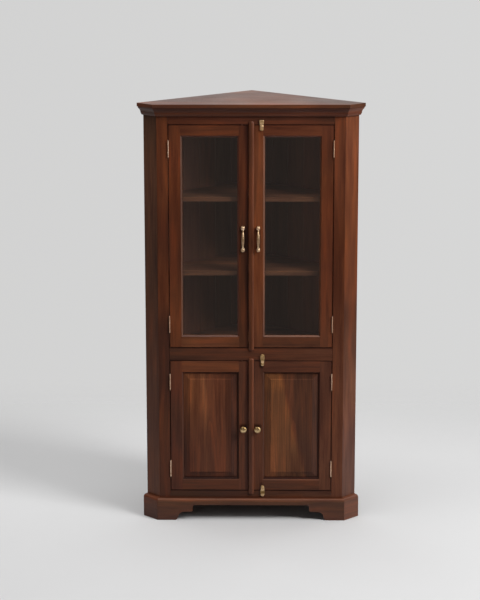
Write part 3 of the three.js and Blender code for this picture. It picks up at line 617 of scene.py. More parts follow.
def door_members(level, side, materials):
    """Stiles and rails of one door: stiles run through, rails butt them, the chamfer meets in a mitre."""
    s = 1 if side == "right" else -1
    node = f"{level}_{side}_door_frame"
    xa, xb = (SIGHT_IN, SIGHT_OUT) if s > 0 else (-SIGHT_OUT, -SIGHT_IN)
    za, zb = DOORS[level]["sight"]
    bm = cad_copy(node)

    def cut(co, no, faces=None):
        f = faces if faces is not None else list(bm.faces)
        geom = set(f)
        for face in f:
            geom.update(face.edges)
            geom.update(face.verts)
        bmesh.ops.bisect_plane(bm, geom=list(geom), dist=1e-6, plane_co=pt(*co), plane_no=no)

    cut((xa - CH, 0, 0), (1, 0, 0))
    cut((xb + CH, 0, 0), (1, 0, 0))
    for x, z, no in ((xa, za, (1, 0, -1)), (xa, zb, (1, 0, 1)), (xb, za, (1, 0, 1)), (xb, zb, (1, 0, -1))):
        flat = [f for f in bm.faces if abs(f.normal.y) > 0.5]
        cut((x, 0, z), no, flat)

    def member_of(f):
        x, y, z = back_to_mm(f.calc_center_median())
        if x < xa - CH + 1e-3:
            return "stile_l"
        if x > xb + CH - 1e-3:
            return "stile_r"
        dx_l, dx_r = xa - x, x - xb
        dz_t, dz_b = z - zb, za - z
        best = max((dx_l, "stile_l"), (dx_r, "stile_r"), (dz_t, "rail_top"), (dz_b, "rail_bottom"))
        return best[1]

    groups = {}
    for f in bm.faces:
        groups.setdefault(member_of(f), set()).add(f.index)
    inner, outer = ("stile_l", "stile_r") if s > 0 else ("stile_r", "stile_l")
    names = {inner: "meeting_stile", outer: "hinge_stile", "rail_top": "top_rail", "rail_bottom": "bottom_rail"}
    made = []
    bm.faces.ensure_lookup_table()
    for key, label in names.items():
        sub = bm.copy()
        sub.faces.ensure_lookup_table()
        keep = groups[key]
        bmesh.ops.delete(sub, geom=[f for f in sub.faces if f.index not in keep], context="FACES")
        bmesh.ops.dissolve_limit(sub, angle_limit=math.radians(0.4), verts=sub.verts, edges=sub.edges, delimit=set())
        bmesh.ops.holes_fill(sub, edges=[e for e in sub.edges if e.is_boundary], sides=0)
        bmesh.ops.recalc_face_normals(sub, faces=sub.faces)
        name = f"{level}_{side}_door_{label}"
        me = bpy.data.meshes.new(name)
        sub.to_mesh(me)
        sub.free()
        for p in me.polygons:
            p.use_smooth = False
        me.materials.append(materials[label])
        me.materials.append(materials[label + "_edge"])
        for p in me.polygons:
            if 0.5 < abs(p.normal.y) < 0.9:
                p.material_index = 1
        o = bpy.data.objects.new(name, me)
        place(o, f"{level}_{side}_door", node)
        bevel(o, 0.45, 2)
        made.append(o)
    bm.free()
    return made


def mitred_ring(name, outer, inner, y0, y1, body, materials, node):
    """Four mitred strips behind the glass: outer and inner are x0, x1, z0, z1."""
    ox0, ox1, oz0, oz1 = outer
    ix0, ix1, iz0, iz1 = inner
    g = 0.12
    strips = {
        "left": [(ox0, oz0 + g), (ix0, iz0 + g), (ix0, iz1 - g), (ox0, oz1 - g)],
        "right": [(ox1, oz1 - g), (ix1, iz1 - g), (ix1, iz0 + g), (ox1, oz0 + g)],
        "top": [(ox0 + g, oz1), (ix0 + g, iz1), (ix1 - g, iz1), (ox1 - g, oz1)],
        "bottom": [(ox1 - g, oz0), (ix1 - g, iz0), (ix0 + g, iz0), (ox0 + g, oz0)],
    }
    for k, outline in strips.items():
        piece(f"{name}_{k}", [upright_prism_y(outline, y0, y1)], body, materials[k in ("top", "bottom")], node, None, 0.5)


door_tone = {
    ("upper", "left"): dict(meeting_stile=(0.60, 0.63, 0.68), hinge_stile=(0.88, 0.87, 0.90), top_rail=(0.92, 0.91, 0.92), bottom_rail=(1.02, 1.16, 1.26)),
    ("upper", "right"): dict(meeting_stile=(1.28, 1.36, 1.36), hinge_stile=(0.98, 0.95, 1.0), top_rail=(1.04, 1.03, 1.12), bottom_rail=(0.68, 0.84, 1.08)),
    ("lower", "left"): dict(meeting_stile=(0.72, 0.89, 1.26), hinge_stile=(0.66, 0.74, 1.02), top_rail=(1.20, 1.34, 1.50), bottom_rail=(0.60, 0.73, 0.98)),
    ("lower", "right"): dict(meeting_stile=(0.73, 0.92, 1.28), hinge_stile=(0.94, 1.14, 1.56), top_rail=(0.76, 0.90, 1.26), bottom_rail=(0.65, 0.77, 0.99)),
}
door_fade = {
    ("upper", "left", "meeting_stile"): [(0.8, 1.15, 1.27, 1.40), (0.93, 0.98, 1.05, 1.12), (1.1, 0.73, 0.80, 0.88), (1.3, 0.88, 0.90, 0.95), (1.46, 1.02, 0.97, 1.0), (1.62, 1.50, 1.32, 1.18), (1.80, 1.02, 0.92, 0.97)],
    ("upper", "left", "hinge_stile"): [(0.8, 1.18, 1.25, 1.22), (0.93, 1.33, 1.34, 1.25), (1.06, 0.95, 1.0, 1.0), (1.2, 0.71, 0.72, 0.77), (1.38, 0.87, 0.80, 0.74), (1.56, 1.20, 1.08, 0.88), (1.65, 1.22, 1.08, 0.95), (1.80, 1.0, 0.95, 0.82)],
    ("upper", "right", "meeting_stile"): [(0.8, 0.83, 0.88, 1.0), (0.97, 1.08, 1.08, 1.12), (1.14, 1.17, 1.09, 1.0), (1.3, 0.95, 0.95, 0.92), (1.46, 0.76, 0.80, 0.82), (1.54, 0.90, 0.92, 0.93), (1.66, 1.10, 1.08, 1.08), (1.80, 0.84, 0.80, 0.74)],
    ("upper", "right", "hinge_stile"): [(0.8, 0.93, 1.10, 1.30), (1.1, 1.0, 0.98, 1.02), (1.28, 0.90, 0.86, 0.86), (1.42, 1.25, 1.18, 1.05), (1.54, 1.04, 1.03, 0.92), (1.66, 0.73, 0.75, 0.76), (1.80, 0.95, 0.96, 1.05)],
    ("lower", "left", "hinge_stile"): [(0.14, 0.97, 0.93, 0.95), (0.25, 1.15, 1.06, 1.0), (0.37, 0.86, 0.93, 1.05), (0.45, 0.88, 0.98, 1.08), (0.52, 1.02, 1.12, 1.2), (0.62, 1.36, 1.26, 1.26), (0.72, 1.27, 1.27, 1.18)],
    ("lower", "right", "meeting_stile"): [(0.14, 1.18, 1.02, 0.80), (0.22, 1.28, 1.13, 1.0), (0.33, 1.08, 1.03, 1.0), (0.6, 1.02, 1.05, 1.08), (0.72, 0.80, 0.80, 0.86)],
    ("lower", "right", "hinge_stile"): [(0.14, 1.1, 1.1, 1.0), (0.4, 1.1, 1.08, 1.05), (0.66, 0.88, 0.9, 0.95)],
    ("upper", "left", "bottom_rail"): [(-0.33, 1.05, 1.08, 1.08), (-0.27, 1.21, 1.24, 1.20), (-0.20, 1.0, 1.03, 1.12), (-0.06, 0.92, 0.94, 0.95)],
    ("lower", "left", "meeting_stile"): [(0.14, 1.10, 1.03, 1.0), (0.30, 1.0, 1.0, 1.0), (0.66, 1.0, 1.0, 1.0), (0.73, 1.20, 1.17, 1.08)],
}
# painted light and shade on the eased edge round each opening, set by the way it faces, on every member: colour, sheen
edge_light_and_shade = {
    ("upper", "left"): dict(meeting_stile=(0.93, 0.92, 1.22, 0.30), hinge_stile=(0.82, 1.16, 1.60, 0.40), top_rail=(0.98, 0.92, 1.20, 0.25), bottom_rail=(0.74, 0.78, 0.80, 0.30)),
    ("upper", "right"): dict(meeting_stile=(1.16, 1.60, 2.20, 0.40), hinge_stile=(0.90, 0.90, 0.75, 0.25), top_rail=(1.15, 1.10, 1.60, 0.25), bottom_rail=(0.92, 1.16, 1.36, 0.30)),
    ("lower", "left"): dict(meeting_stile=(0.40, 0.45, 0.50, 0.15), hinge_stile=(0.62, 0.68, 0.83, 0.30), top_rail=(0.60, 0.60, 0.70, 0.20), bottom_rail=(0.16, 0.11, 0.10, 0.08)),
    ("lower", "right"): dict(meeting_stile=(0.58, 0.70, 0.93, 0.30), hinge_stile=(0.45, 0.42, 0.50, 0.15), top_rail=(0.60, 0.60, 0.70, 0.20), bottom_rail=(0.20, 0.13, 0.12, 0.08)),
}
# painted shade along the gaps, a paler band just above the lower edge of the upper door, and a painted highlight along
# the top arris of the lower door
door_lines = {
    ("upper", "top_rail"): [JOINT_TOP],
    ("upper", "bottom_rail"): [JOINT_MID_UPPER, ("z", 0.8110, 0.0040, 0.0025, (1.30, 1.32, 1.36))],
    ("lower", "top_rail"): [JOINT_MID_LOWER, ("z", 0.7398, 0.0022, 0.0012, (1.35, 1.40, 1.45))],
    ("lower", "bottom_rail"): [JOINT_LOW],
}
# painted highlight along the lower arris of the bottom rails of the lower doors, brighter on the right door
ARRIS_HIGHLIGHT = {"left": ("z", 0.1857, 0.0024, 0.0014, (1.65, 1.85, 2.05)), "right": ("z", 0.1857, 0.0024, 0.0014, (2.40, 2.95, 3.50))}
# painted shadows of the pulls, knobs and catches on the stiles, with the dark reflection of each knob above it
SHADOW_TINT = (0.40, 0.33, 0.28)
fitting_painted_shadows = {
    ("upper", "left", "meeting_stile"): [(-0.0335, 1.2985, 0.010, 0.048, 0.015, (0.34, 0.27, 0.22))],
    ("upper", "right", "meeting_stile"): [(0.0265, 1.2985, 0.007, 0.042, 0.014, (0.26, 0.21, 0.18))],
    ("lower", "left", "meeting_stile"): [(-0.0340, 0.4305, 0.010, 0.010, 0.014, (0.32, 0.26, 0.22))],
    ("lower", "right", "meeting_stile"): [(0.0300, 0.4305, 0.010, 0.010, 0.014, (0.32, 0.26, 0.22)), (0.0490, 0.7280, 0.004, 0.014, 0.012, SHADOW_TINT), (0.0510, 0.1490, 0.004, 0.016, 0.012, (0.5, 0.42, 0.36))],
}
SHADE_LEFT_OF_BEAD = ("x", -0.0180, 0.0075, 0.0050, (0.50, 0.45, 0.48))
seed = 70.0
for (level, side), tones in door_tone.items():
    mats = {}
    for label, (kr, kg, kb) in tones.items():
        seed += 3.7
        grain = "z" if "stile" in label else "0"
        at = list(door_lines.get((level, label), []))
        if "stile" in label:
            at += JOINTS + door_lines[(level, "top_rail")][:1] + door_lines[(level, "bottom_rail")][:1]
        if (level, label) == ("lower", "bottom_rail"):
            at.append(ARRIS_HIGHLIGHT[side])
        if (side, label) == ("left", "meeting_stile"):
            at.append(SHADE_LEFT_OF_BEAD)
        mats[label] = wood(f"{level}_{side}_{label}_wood", toned(DOOR, 1.0, kr, kg, kb), grain, seed, rings=0.45, patch=0.5,
                           fade=door_fade.get((level, side, label)), fade_axis="x" if "rail" in label else "z", lines=at, painted_shadows=fitting_painted_shadows.get((level, side, label), ()))
        er, eg, eb, sheen = edge_light_and_shade[(level, side)][label]
        mats[label + "_edge"] = wood(f"{level}_{side}_{label}_edge_wood", toned(DOOR, 1.0, er, eg, eb), grain, seed + 1.3, streak=0.7, patch=0.4, spec=sheen, coat=sheen * 0.4)
    door_members(level, side, mats)


# panels: strong figure, glued up from boards of different tone
def smooth_band(t, x, centre, half, soft):
    a = remap(t, x, centre - half - soft, centre - half + soft, 0.0, 1.0, True)
    b = remap(t, x, centre + half - soft, centre + half + soft, 1.0, 0.0, True)
    return math_node(t, "MULTIPLY", a, b)


def slope_light_and_shade(t, x, z, x0, x1, colour, z0=0.2180, z1=0.658, right=(0.78, 0.88, 1.05), low=(0.76, 0.74, 0.76)):
    """Painted light and shade on the four slopes round the raised field, by the way each slope faces."""
    out_r = math_node(t, "SUBTRACT", x, x1)
    out_l = math_node(t, "SUBTRACT", x0, x)
    out_t = math_node(t, "SUBTRACT", z, z1)
    out_b = math_node(t, "SUBTRACT", z0, z)
    level = math_node(t, "MAXIMUM", out_t, out_b)
    upright = math_node(t, "MAXIMUM", out_r, out_l)
    for mine, other, k in ((out_r, level, right), (out_l, level, (0.70, 0.70, 0.74)), (out_t, upright, (0.72, 0.70, 0.66)), (out_b, upright, low)):
        on = math_node(t, "MULTIPLY", remap(t, mine, 0.0, 0.0012, 0.0, 1.0), remap(t, math_node(t, "SUBTRACT", mine, other), -0.0006, 0.0006, 0.0, 1.0))
        colour = mix(t, on, colour, mix(t, 1.0, colour, k, "MULTIPLY"))
    # painted shade: a dark line where the field drops to the slope
    edge = math_node(t, "MAXIMUM", level, upright)
    line = math_node(t, "MULTIPLY", remap(t, edge, -0.0016, 0.0, 0.0, 1.0, True), remap(t, edge, 0.0002, 0.0016, 1.0, 0.0, True))
    # along the top the arris gets a painted highlight instead
    crest = math_node(t, "MULTIPLY", remap(t, out_t, -0.0026, -0.0008, 0.0, 1.0), remap(t, out_t, 0.0006, 0.0022, 1.0, 0.0))
    crest = math_node(t, "MULTIPLY", crest, remap(t, upright, -0.0006, 0.0010, 1.0, 0.0))
    line = math_node(t, "MULTIPLY", line, math_node(t, "SUBTRACT", 1.0, crest))
    colour = mix(t, math_node(t, "MULTIPLY", line, 0.35), colour, mix(t, 1.0, colour, (0.45, 0.42, 0.42), "MULTIPLY"))
    return mix(t, math_node(t, "MULTIPLY", crest, 0.7), colour, mix(t, 1.0, colour, (1.42, 1.40, 1.38), "MULTIPLY"))


def left_panel_regions(t, obj, w, colour):
    sep = add(t, "ShaderNodeSeparateXYZ", None, i0=obj)
    x, z = sep.outputs[0], sep.outputs[2]
    wob = noise(t, scaled(t, obj, 9.0, 9.0, 1.6), 1.0, 3.0, 0.55)
    wob2 = noise(t, scaled(t, obj, 60.0, 60.0, 4.0), 1.0, 3.0, 0.6)
    xw = math_node(t, "MULTIPLY_ADD", math_node(t, "SUBTRACT", wob, 0.5), 0.035, x)
    xw = math_node(t, "MULTIPLY_ADD", math_node(t, "SUBTRACT", wob2, 0.5), 0.018, xw)
    # golden streak left of the middle, tapering downwards
    lean = math_node(t, "MULTIPLY_ADD", math_node(t, "SUBTRACT", z, 0.44), 0.03, xw)
    gold = smooth_band(t, lean, -0.205, 0.010, 0.012)
    gold = math_node(t, "MULTIPLY", gold, remap(t, z, 0.22, 0.62, 0.25, 1.0, True))
    colour = mix(t, math_node(t, "MULTIPLY", gold, 0.75), colour, mix(t, 1.0, colour, (1.75, 1.95, 1.75), "MULTIPLY"))
    # warmer, lighter upper left
    warm = math_node(t, "MULTIPLY", remap(t, xw, -0.20, -0.26, 0.0, 1.0, True), remap(t, z, 0.34, 0.60, 0.0, 1.0, True))
    colour = mix(t, math_node(t, "MULTIPLY", warm, 0.8), colour, mix(t, 1.0, colour, (1.35, 1.40, 1.15), "MULTIPLY"))
    # darker band at the right
    dark = remap(t, math_node(t, "MULTIPLY_ADD", math_node(t, "SUBTRACT", z, 0.44), 0.04, xw), -0.124, -0.090, 0.0, 1.0, True)
    colour = mix(t, math_node(t, "MULTIPLY", dark, remap(t, z, 0.24, 0.62, 0.45, 1.0)), colour, mix(t, 1.0, colour, (0.52, 0.52, 0.58), "MULTIPLY"))
    # a paler board before the dark one near the top, and a darker lower left corner
    pale = math_node(t, "MULTIPLY", smooth_band(t, xw, -0.148, 0.012, 0.012), remap(t, z, 0.44, 0.60, 0.0, 1.0, True))
    colour = mix(t, math_node(t, "MULTIPLY", pale, 0.8), colour, mix(t, 1.0, colour, (1.35, 1.35, 1.30), "MULTIPLY"))
    low = math_node(t, "MULTIPLY", remap(t, xw, -0.235, -0.270, 0.0, 1.0, True), remap(t, z, 0.40, 0.28, 0.0, 1.0, True))
    colour = mix(t, low, colour, mix(t, 1.0, colour, (0.68, 0.68, 0.72), "MULTIPLY"))
    # the left slope is paler towards the top
    slope = math_node(t, "MULTIPLY", remap(t, x, -0.2765, -0.2785, 0.0, 1.0), remap(t, z, 0.40, 0.60, 0.0, 1.0, True))
    colour = mix(t, slope, colour, mix(t, 1.0, colour, (1.28, 1.28, 1.24), "MULTIPLY"))
    return slope_light_and_shade(t, x, z, -0.277, -0.0885, colour)


def right_panel_regions(t, obj, w, colour):
    sep = add(t, "ShaderNodeSeparateXYZ", None, i0=obj)
    x, z = sep.outputs[0], sep.outputs[2]
    wob = noise(t, scaled(t, obj, 8.0, 8.0, 2.2, (2.0, 1.0, 4.0)), 1.0, 3.0, 0.55)
    wob2 = noise(t, scaled(t, obj, 70.0, 70.0, 5.0), 1.0, 3.0, 0.6)
    xw = math_node(t, "MULTIPLY_ADD", math_node(t, "SUBTRACT", wob, 0.5), 0.07, x)
    xw = math_node(t, "MULTIPLY_ADD", math_node(t, "SUBTRACT", wob2, 0.5), 0.02, xw)
    shift = math_node(t, "MULTIPLY_ADD", math_node(t, "SUBTRACT", z, 0.44), 0.20, xw)
    light = remap(t, shift, 0.196, 0.178, 0.0, 1.0, True)
    dark = remap(t, shift, 0.182, 0.206, 0.0, 1.0, True)
    colour = mix(t, math_node(t, "MULTIPLY", light, 0.85), colour, mix(t, 1.0, colour, (1.22, 1.42, 1.30), "MULTIPLY"))
    colour = mix(t, math_node(t, "MULTIPLY", dark, 0.9), colour, mix(t, 1.0, colour, (0.56, 0.66, 0.84), "MULTIPLY"))
    pale = math_node(t, "MULTIPLY", remap(t, xw, 0.20, 0.16, 0.0, 1.0, True), remap(t, z, 0.585, 0.635, 0.0, 1.0, True))
    colour = mix(t, pale, colour, mix(t, 1.0, colour, (1.38, 1.32, 1.12), "MULTIPLY"))
    return slope_light_and_shade(t, x, z, 0.0885, 0.277, colour, right=(0.86, 0.97, 1.16), low=(0.88, 0.86, 0.84))


PANEL = (0.150, 0.0520, 0.0240)


# painted shade along the edges of the panel where the frame shadows it, darkest at the bottom and on the right
def panel_shade_lines(x0, x1):
    return [("x", x0, 0.0022, 0.0012, (0.60, 0.54, 0.52)), ("x", x1, 0.0032, 0.0016, (0.36, 0.28, 0.26)),
            ("z", 0.6850, 0.0030, 0.0016, (0.42, 0.36, 0.34)), ("z", 0.1950, 0.0040, 0.0016, (0.34, 0.26, 0.24))]


keep_node("lower_left_panel", wood("lower_left_panel_wood", toned(PANEL, 1.0), "z", 131.3, rings=1.3, ring_mm=9.0, taper=0.035, depth=0.02, centre=-0.18, patch=0.9, regions=left_panel_regions, lines=panel_shade_lines(-0.304, -0.0605),
          fade=[(0.18, 0.80, 0.78, 0.88), (0.36, 0.84, 0.82, 0.90), (0.56, 1.14, 1.10, 1.12), (0.70, 1.20, 1.16, 1.18)]), 0.5)
keep_node("lower_right_panel", wood("lower_right_panel_wood", toned(PANEL, 1.0), "z", 137.7, rings=1.3, ring_mm=9.0, taper=0.035, depth=0.02, centre=0.20, patch=0.9, regions=right_panel_regions, lines=panel_shade_lines(0.0605, 0.304),
          fade=[(0.18, 0.88, 0.86, 0.90), (0.40, 1.0, 1.0, 1.0), (0.68, 1.0, 1.0, 1.0)]), 0.5)

glass_material = clear_glass("window_glass")
for side in ("left", "right"):
    s = 1 if side == "right" else -1
    keep_node(f"upper_{side}_glass", glass_material)
    x0, x1 = (SIGHT_IN, SIGHT_OUT) if s > 0 else (-SIGHT_OUT, -SIGHT_IN)
    z0, z1 = DOORS["upper"]["sight"]
    mats = [wood(f"bead_{side}_upright", toned(DOOR, 0.9), "z", 141.0 + s * 2.2, coat=0.1), wood(f"bead_{side}_level", toned(DOOR, 0.9), "0", 147.0 + s * 2.2, coat=0.1)]
    mitred_ring(f"upper_{side}_glazing_strip", (x0 - 6.5, x1 + 6.5, z0 - 6.5, z1 + 6.5), (x0 + 2.0, x1, z0, z1 - 5.0), 12.9, 19.7, f"upper_{side}_door", mats, f"upper_{side}_glazing_bead")

# astragals: half-round bead with domed ends
def bead_light_and_shade(t, obj, w, colour):
    """Painted highlights along both flanks, darker on the crown."""
    sep = add(t, "ShaderNodeSeparateXYZ", None, i0=obj)
    k = ramp(t, remap(t, sep.outputs[0], -0.011, 0.013, 0.0, 1.0),
             [(0.0, (0.46, 0.50, 0.55)), (0.16, (0.46, 0.50, 0.55)), (0.34, (0.32, 0.31, 0.28)), (0.66, (0.30, 0.27, 0.24)), (0.86, (0.52, 0.52, 0.52)), (1.0, (0.46, 0.44, 0.42))])
    return mix(t, 1.0, mix(t, 1.0, colour, k, "MULTIPLY"), (3.0, 3.0, 3.0), "MULTIPLY")


def astragal(name, level, z0, z1, material):
    mid, r, h = 1.0, 12.0, 9.0
    n = 14
    rings = []
    stations = []
    tip = 9.0
    for i in range(0, 7):
        u = i / 6.0
        stations.append((z0 + tip * (1 - math.cos(u * math.pi / 2)), 0.30 + 0.70 * math.sin(u * math.pi / 2)))
    for k in range(1, 12):
        stations.append((z0 + tip + (z1 - z0 - 2 * tip) * k / 12.0, 1.0))
    for i in range(6, -1, -1):
        u = i / 6.0
        stations.append((z1 - tip * (1 - math.cos(u * math.pi / 2)), 0.30 + 0.70 * math.sin(u * math.pi / 2)))
    for z, k in stations:
        ring = [(mid + r * k * math.cos(math.pi * i / n), -0.9 - (h - 0.6) * (k ** 0.8) * math.sin(math.pi * i / n), z) for i in range(n + 1)]
        ring = [(mid + r * k, -0.3, z)] + ring + [(mid - r * k, -0.3, z)]
        rings.append(ring)
    return piece(name, [loft(rings)], f"{level}_right_door", material, f"{level}_right_astragal", 34)


astragal("upper_right_astragal_bead", "upper", 790.0, 1823.0, wood("astragal_upper_wood", toned(DOOR, 0.82, 1.0, 1.08, 1.15), "z", 151.5, rings=0.3, patch=0.5, spec=0.24, coat=0.06, regions=bead_light_and_shade))
astragal("lower_right_astragal_bead", "lower", 116.0, 755.5, wood("astragal_lower_wood", toned(DOOR, 0.88, 1.0, 1.15, 1.40), "z", 155.9, rings=0.3, patch=0.5, spec=0.24, coat=0.06, regions=bead_light_and_shade))


# ------------------------------------------------------------------ brass fittings
# the pull's stops: tarnish in the neck, a painted highlight on the lower half of the upper ball, painted shade on its
# upper half
brass_pull = brass("brass_pull", 1.7, (0.73, 0.53, 0.345), 0.27, 0.95, [(1240.0, 0.84), (1262.0, 0.92), (1292.0, 0.80), (1331.0, 0.83), (1339.0, 0.48), (1346.0, 1.28), (1358.0, 0.62)])
# the knob's stops: painted shade over its upper half, lighter below
brass_knob = brass("brass_knob", 4.1, (0.62, 0.46, 0.25), 0.24, 1.0, [(411.0, 1.1), (423.0, 1.0), (433.0, 0.72), (443.0, 0.40)])
# outer paints shade on the outer side of each knuckle
brass_hinge = brass("brass_hinge", 9.3, (1.0, 0.71, 0.52), 0.33, outer=0.3641)
steel, st, sout = new_material("dark_iron_screw")
s_tc = add(st, "ShaderNodeTexCoord")
s_n = noise(st, s_tc.outputs["Object"], 700.0, 3.0, 0.6)
s_p = add(st, "ShaderNodeBsdfPrincipled", None, Base_Color=ramp(st, s_n, [(0.35, (0.16, 0.12, 0.08)), (0.65, (0.34, 0.25, 0.15))]),
          Roughness=remap(st, s_n, 0.3, 0.7, 0.35, 0.6), Normal=add(st, "ShaderNodeBump", None, Strength=0.3, Distance=0.0001, Height=s_n).outputs[0])
s_p.inputs["Metallic"].default_value = 1.0
st.links.new(s_p.outputs[0], sout.inputs[0])


def sweep(path, radius, segments=28):
    """Round bar through path points (x, y, z) with a radius at each."""
    rings = []
    n = len(path)
    for i in range(n):
        p = Vector(path[i])
        tan = (Vector(path[min(n - 1, i + 1)]) - Vector(path[max(0, i - 1)])).normalized()
        u = Vector((1, 0, 0))
        v = tan.cross(u).normalized()
        rings.append([tuple(p + (u * math.cos(2 * math.pi * k / segments) + v * math.sin(2 * math.pi * k / segments)) * radius[i]) for k in range(segments)])
    return loft(rings)


def curve_through(points, n):
    """Even, smooth points along a curve through the given ones."""
    pts = [Vector(p) for p in points]
    dense = []
    for i in range(len(pts) - 1):
        p0, p1, p2, p3 = pts[max(0, i - 1)], pts[i], pts[i + 1], pts[min(len(pts) - 1, i + 2)]
        for k in range(24):
            u = k / 24.0
            dense.append(0.5 * ((2 * p1) + (p2 - p0) * u + (2 * p0 - 5 * p1 + 4 * p2 - p3) * u * u + (3 * p1 - p0 - 3 * p2 + p3) * u ** 3))
    dense.append(pts[-1])
    length = [0.0]
    for a, b in zip(dense, dense[1:]):
        length.append(length[-1] + (b - a).length)
    got, j = [], 0
    for i in range(n):
        want = length[-1] * i / (n - 1)
        while j < len(length) - 2 and length[j + 1] < want:
            j += 1
        f = 0.0 if length[j + 1] == length[j] else (want - length[j]) / (length[j + 1] - length[j])
        got.append(dense[j].lerp(dense[j + 1], min(1.0, f)))
    return got


def lerp_table(table, u):
    for (a, x), (b, y) in zip(table, table[1:]):
        if u <= b:
            f = (u - a) / (b - a)
            f = f * f * (3 - 2 * f)
            return x + (y - x) * f
    return table[-1][1]


def bow_pull(name, side):
    s = 1 if side == "right" else -1
    x, z, half = s * 34.0 - 2.0, 1300.4, 49.0
    path = curve_through([(x, -12.5, z + half), (x, -17.0, z + half - 7.5), (x, -21.4, z + half - 20), (x, -23.4, z + half - 36), (x, -23.6, z),
                          (x, -23.4, z - half + 36), (x, -21.4, z - half + 20), (x, -17.0, z - half + 7.5), (x, -12.5, z - half)], 61)
    table = [(0.0, 4.6), (0.08, 4.2), (0.135, 3.0), (0.17, 3.2), (0.22, 4.9), (0.34, 6.3), (0.47, 7.0), (0.60, 6.5), (0.72, 5.2), (0.83, 4.1), (0.89, 3.5), (0.94, 3.9), (1.0, 4.6)]
    shells = [sweep([tuple(p) for p in path], [lerp_table(table, i / 60.0) for i in range(61)])]
    for e in (-1, 1):
        zc = z + e * half
        rose = [(0.0, -0.3), (8.5, -0.3), (8.8, -0.6), (8.8, -1.5), (8.4, -2.1), (7.8, -2.4), (7.4, -3.0), (6.8, -3.7), (6.2, -4.6)]
        ball = [(9.2 * math.cos(math.radians(a)), -12.0 - 8.4 * math.sin(math.radians(a))) for a in range(-46, 90, 8)]
        ball[-1] = (0.0, ball[-1][1])
        shells.append(turned(rose + [(5.9, -5.4)] + ball, x, zc, 40))
    return piece(name, shells, f"upper_{side}_door", brass_pull, f"upper_{side}_pull", 40)


def knob(name, side):
    s = 1 if side == "right" else -1
    x, z = s * 32.0 - 2.0, 427.3
    prof = [(0.0, -0.3), (9.7, -0.3), (10.0, -0.6), (10.0, -1.4), (9.5, -2.0), (8.3, -2.4), (7.2, -3.2), (6.0, -4.6), (5.3, -6.5), (5.2, -8.5), (5.8, -10.4), (7.2, -11.8)]
    prof += [(15.4 * math.cos(math.radians(a)), -20.6 - 9.4 * math.sin(math.radians(a))) for a in range(-54, 90, 6)]
    prof.append((0.0, -30.0))
    return piece(name, [turned(prof, x, z, 48)], f"lower_{side}_door", brass_knob, f"lower_{side}_knob", 40)


for side in ("left", "right"):
    bow_pull(f"upper_{side}_bow_pull", side)
    knob(f"lower_{side}_turned_knob", side)


def slotted_head(x, y, z, r, out, tilt, gap=0.45):
    """Raised screw head about a line parallel to y, made of two halves either side of its slot."""
    shells = []
    for half in (0, 1):
        a0 = math.radians(tilt + 180.0 * half)
        pts = []
        lim = math.asin(gap / r)
        for i in range(15):
            a = lim + (math.pi - 2 * lim) * i / 14.0
            pts.append((r * math.cos(a + a0), r * math.sin(a + a0)))
        base = [(x + px, y + 0.4, z + pz) for px, pz in pts]
        mid = [(x + px, y - out * 0.35, z + pz) for px, pz in pts]
        cx = sum(p[0] for p in pts) / len(pts)
        cz = sum(p[1] for p in pts) / len(pts)
        top = [(x + cx + (px - cx) * 0.74, y - out, z + cz + (pz - cz) * 0.74) for px, pz in pts]
        shells.append(loft([base, mid, top]))
    shells.append(turned([(0.0, y + 0.4), (r * 0.97, y + 0.4), (r * 0.97, y - out * 0.12), (0.0, y - out * 0.12)], x, z, 24))
    return shells


CATCH_WIDTHS = {
    "flat": [(-6.4, 0.0), (-6.1, 3.6), (-5.2, 6.0), (-3.4, 7.4), (-0.8, 8.0), (2.0, 8.0), (7.0, 7.7), (12.5, 7.5), (18.0, 7.8), (24.0, 8.5),
             (30.0, 9.4), (36.0, 10.4), (41.0, 10.9), (43.4, 10.2), (44.6, 8.2), (45.3, 4.8), (45.6, 0.0)],
    "spoon": [(-8.6, 0.0), (-8.1, 3.0), (-6.8, 5.1), (-4.6, 6.7), (-1.5, 7.4), (2.0, 7.4), (7.0, 7.1), (12.5, 7.1), (17.0, 7.8), (22.0, 8.9),
              (28.0, 9.6), (34.0, 9.7), (38.5, 9.1), (42.0, 7.2), (44.2, 4.6), (45.3, 2.2), (45.6, 0.0)],
    "oval": [(-8.6, 0.0), (-8.1, 3.4), (-6.8, 5.5), (-4.6, 7.2), (-1.5, 8.0), (4.0, 8.0), (9.0, 8.0), (13.5, 8.4), (18.5, 9.2), (24.0, 9.8),
             (29.0, 9.7), (33.5, 8.9), (37.5, 7.9), (41.0, 6.4), (43.6, 4.2), (45.1, 2.0), (45.6, 0.0)],
}


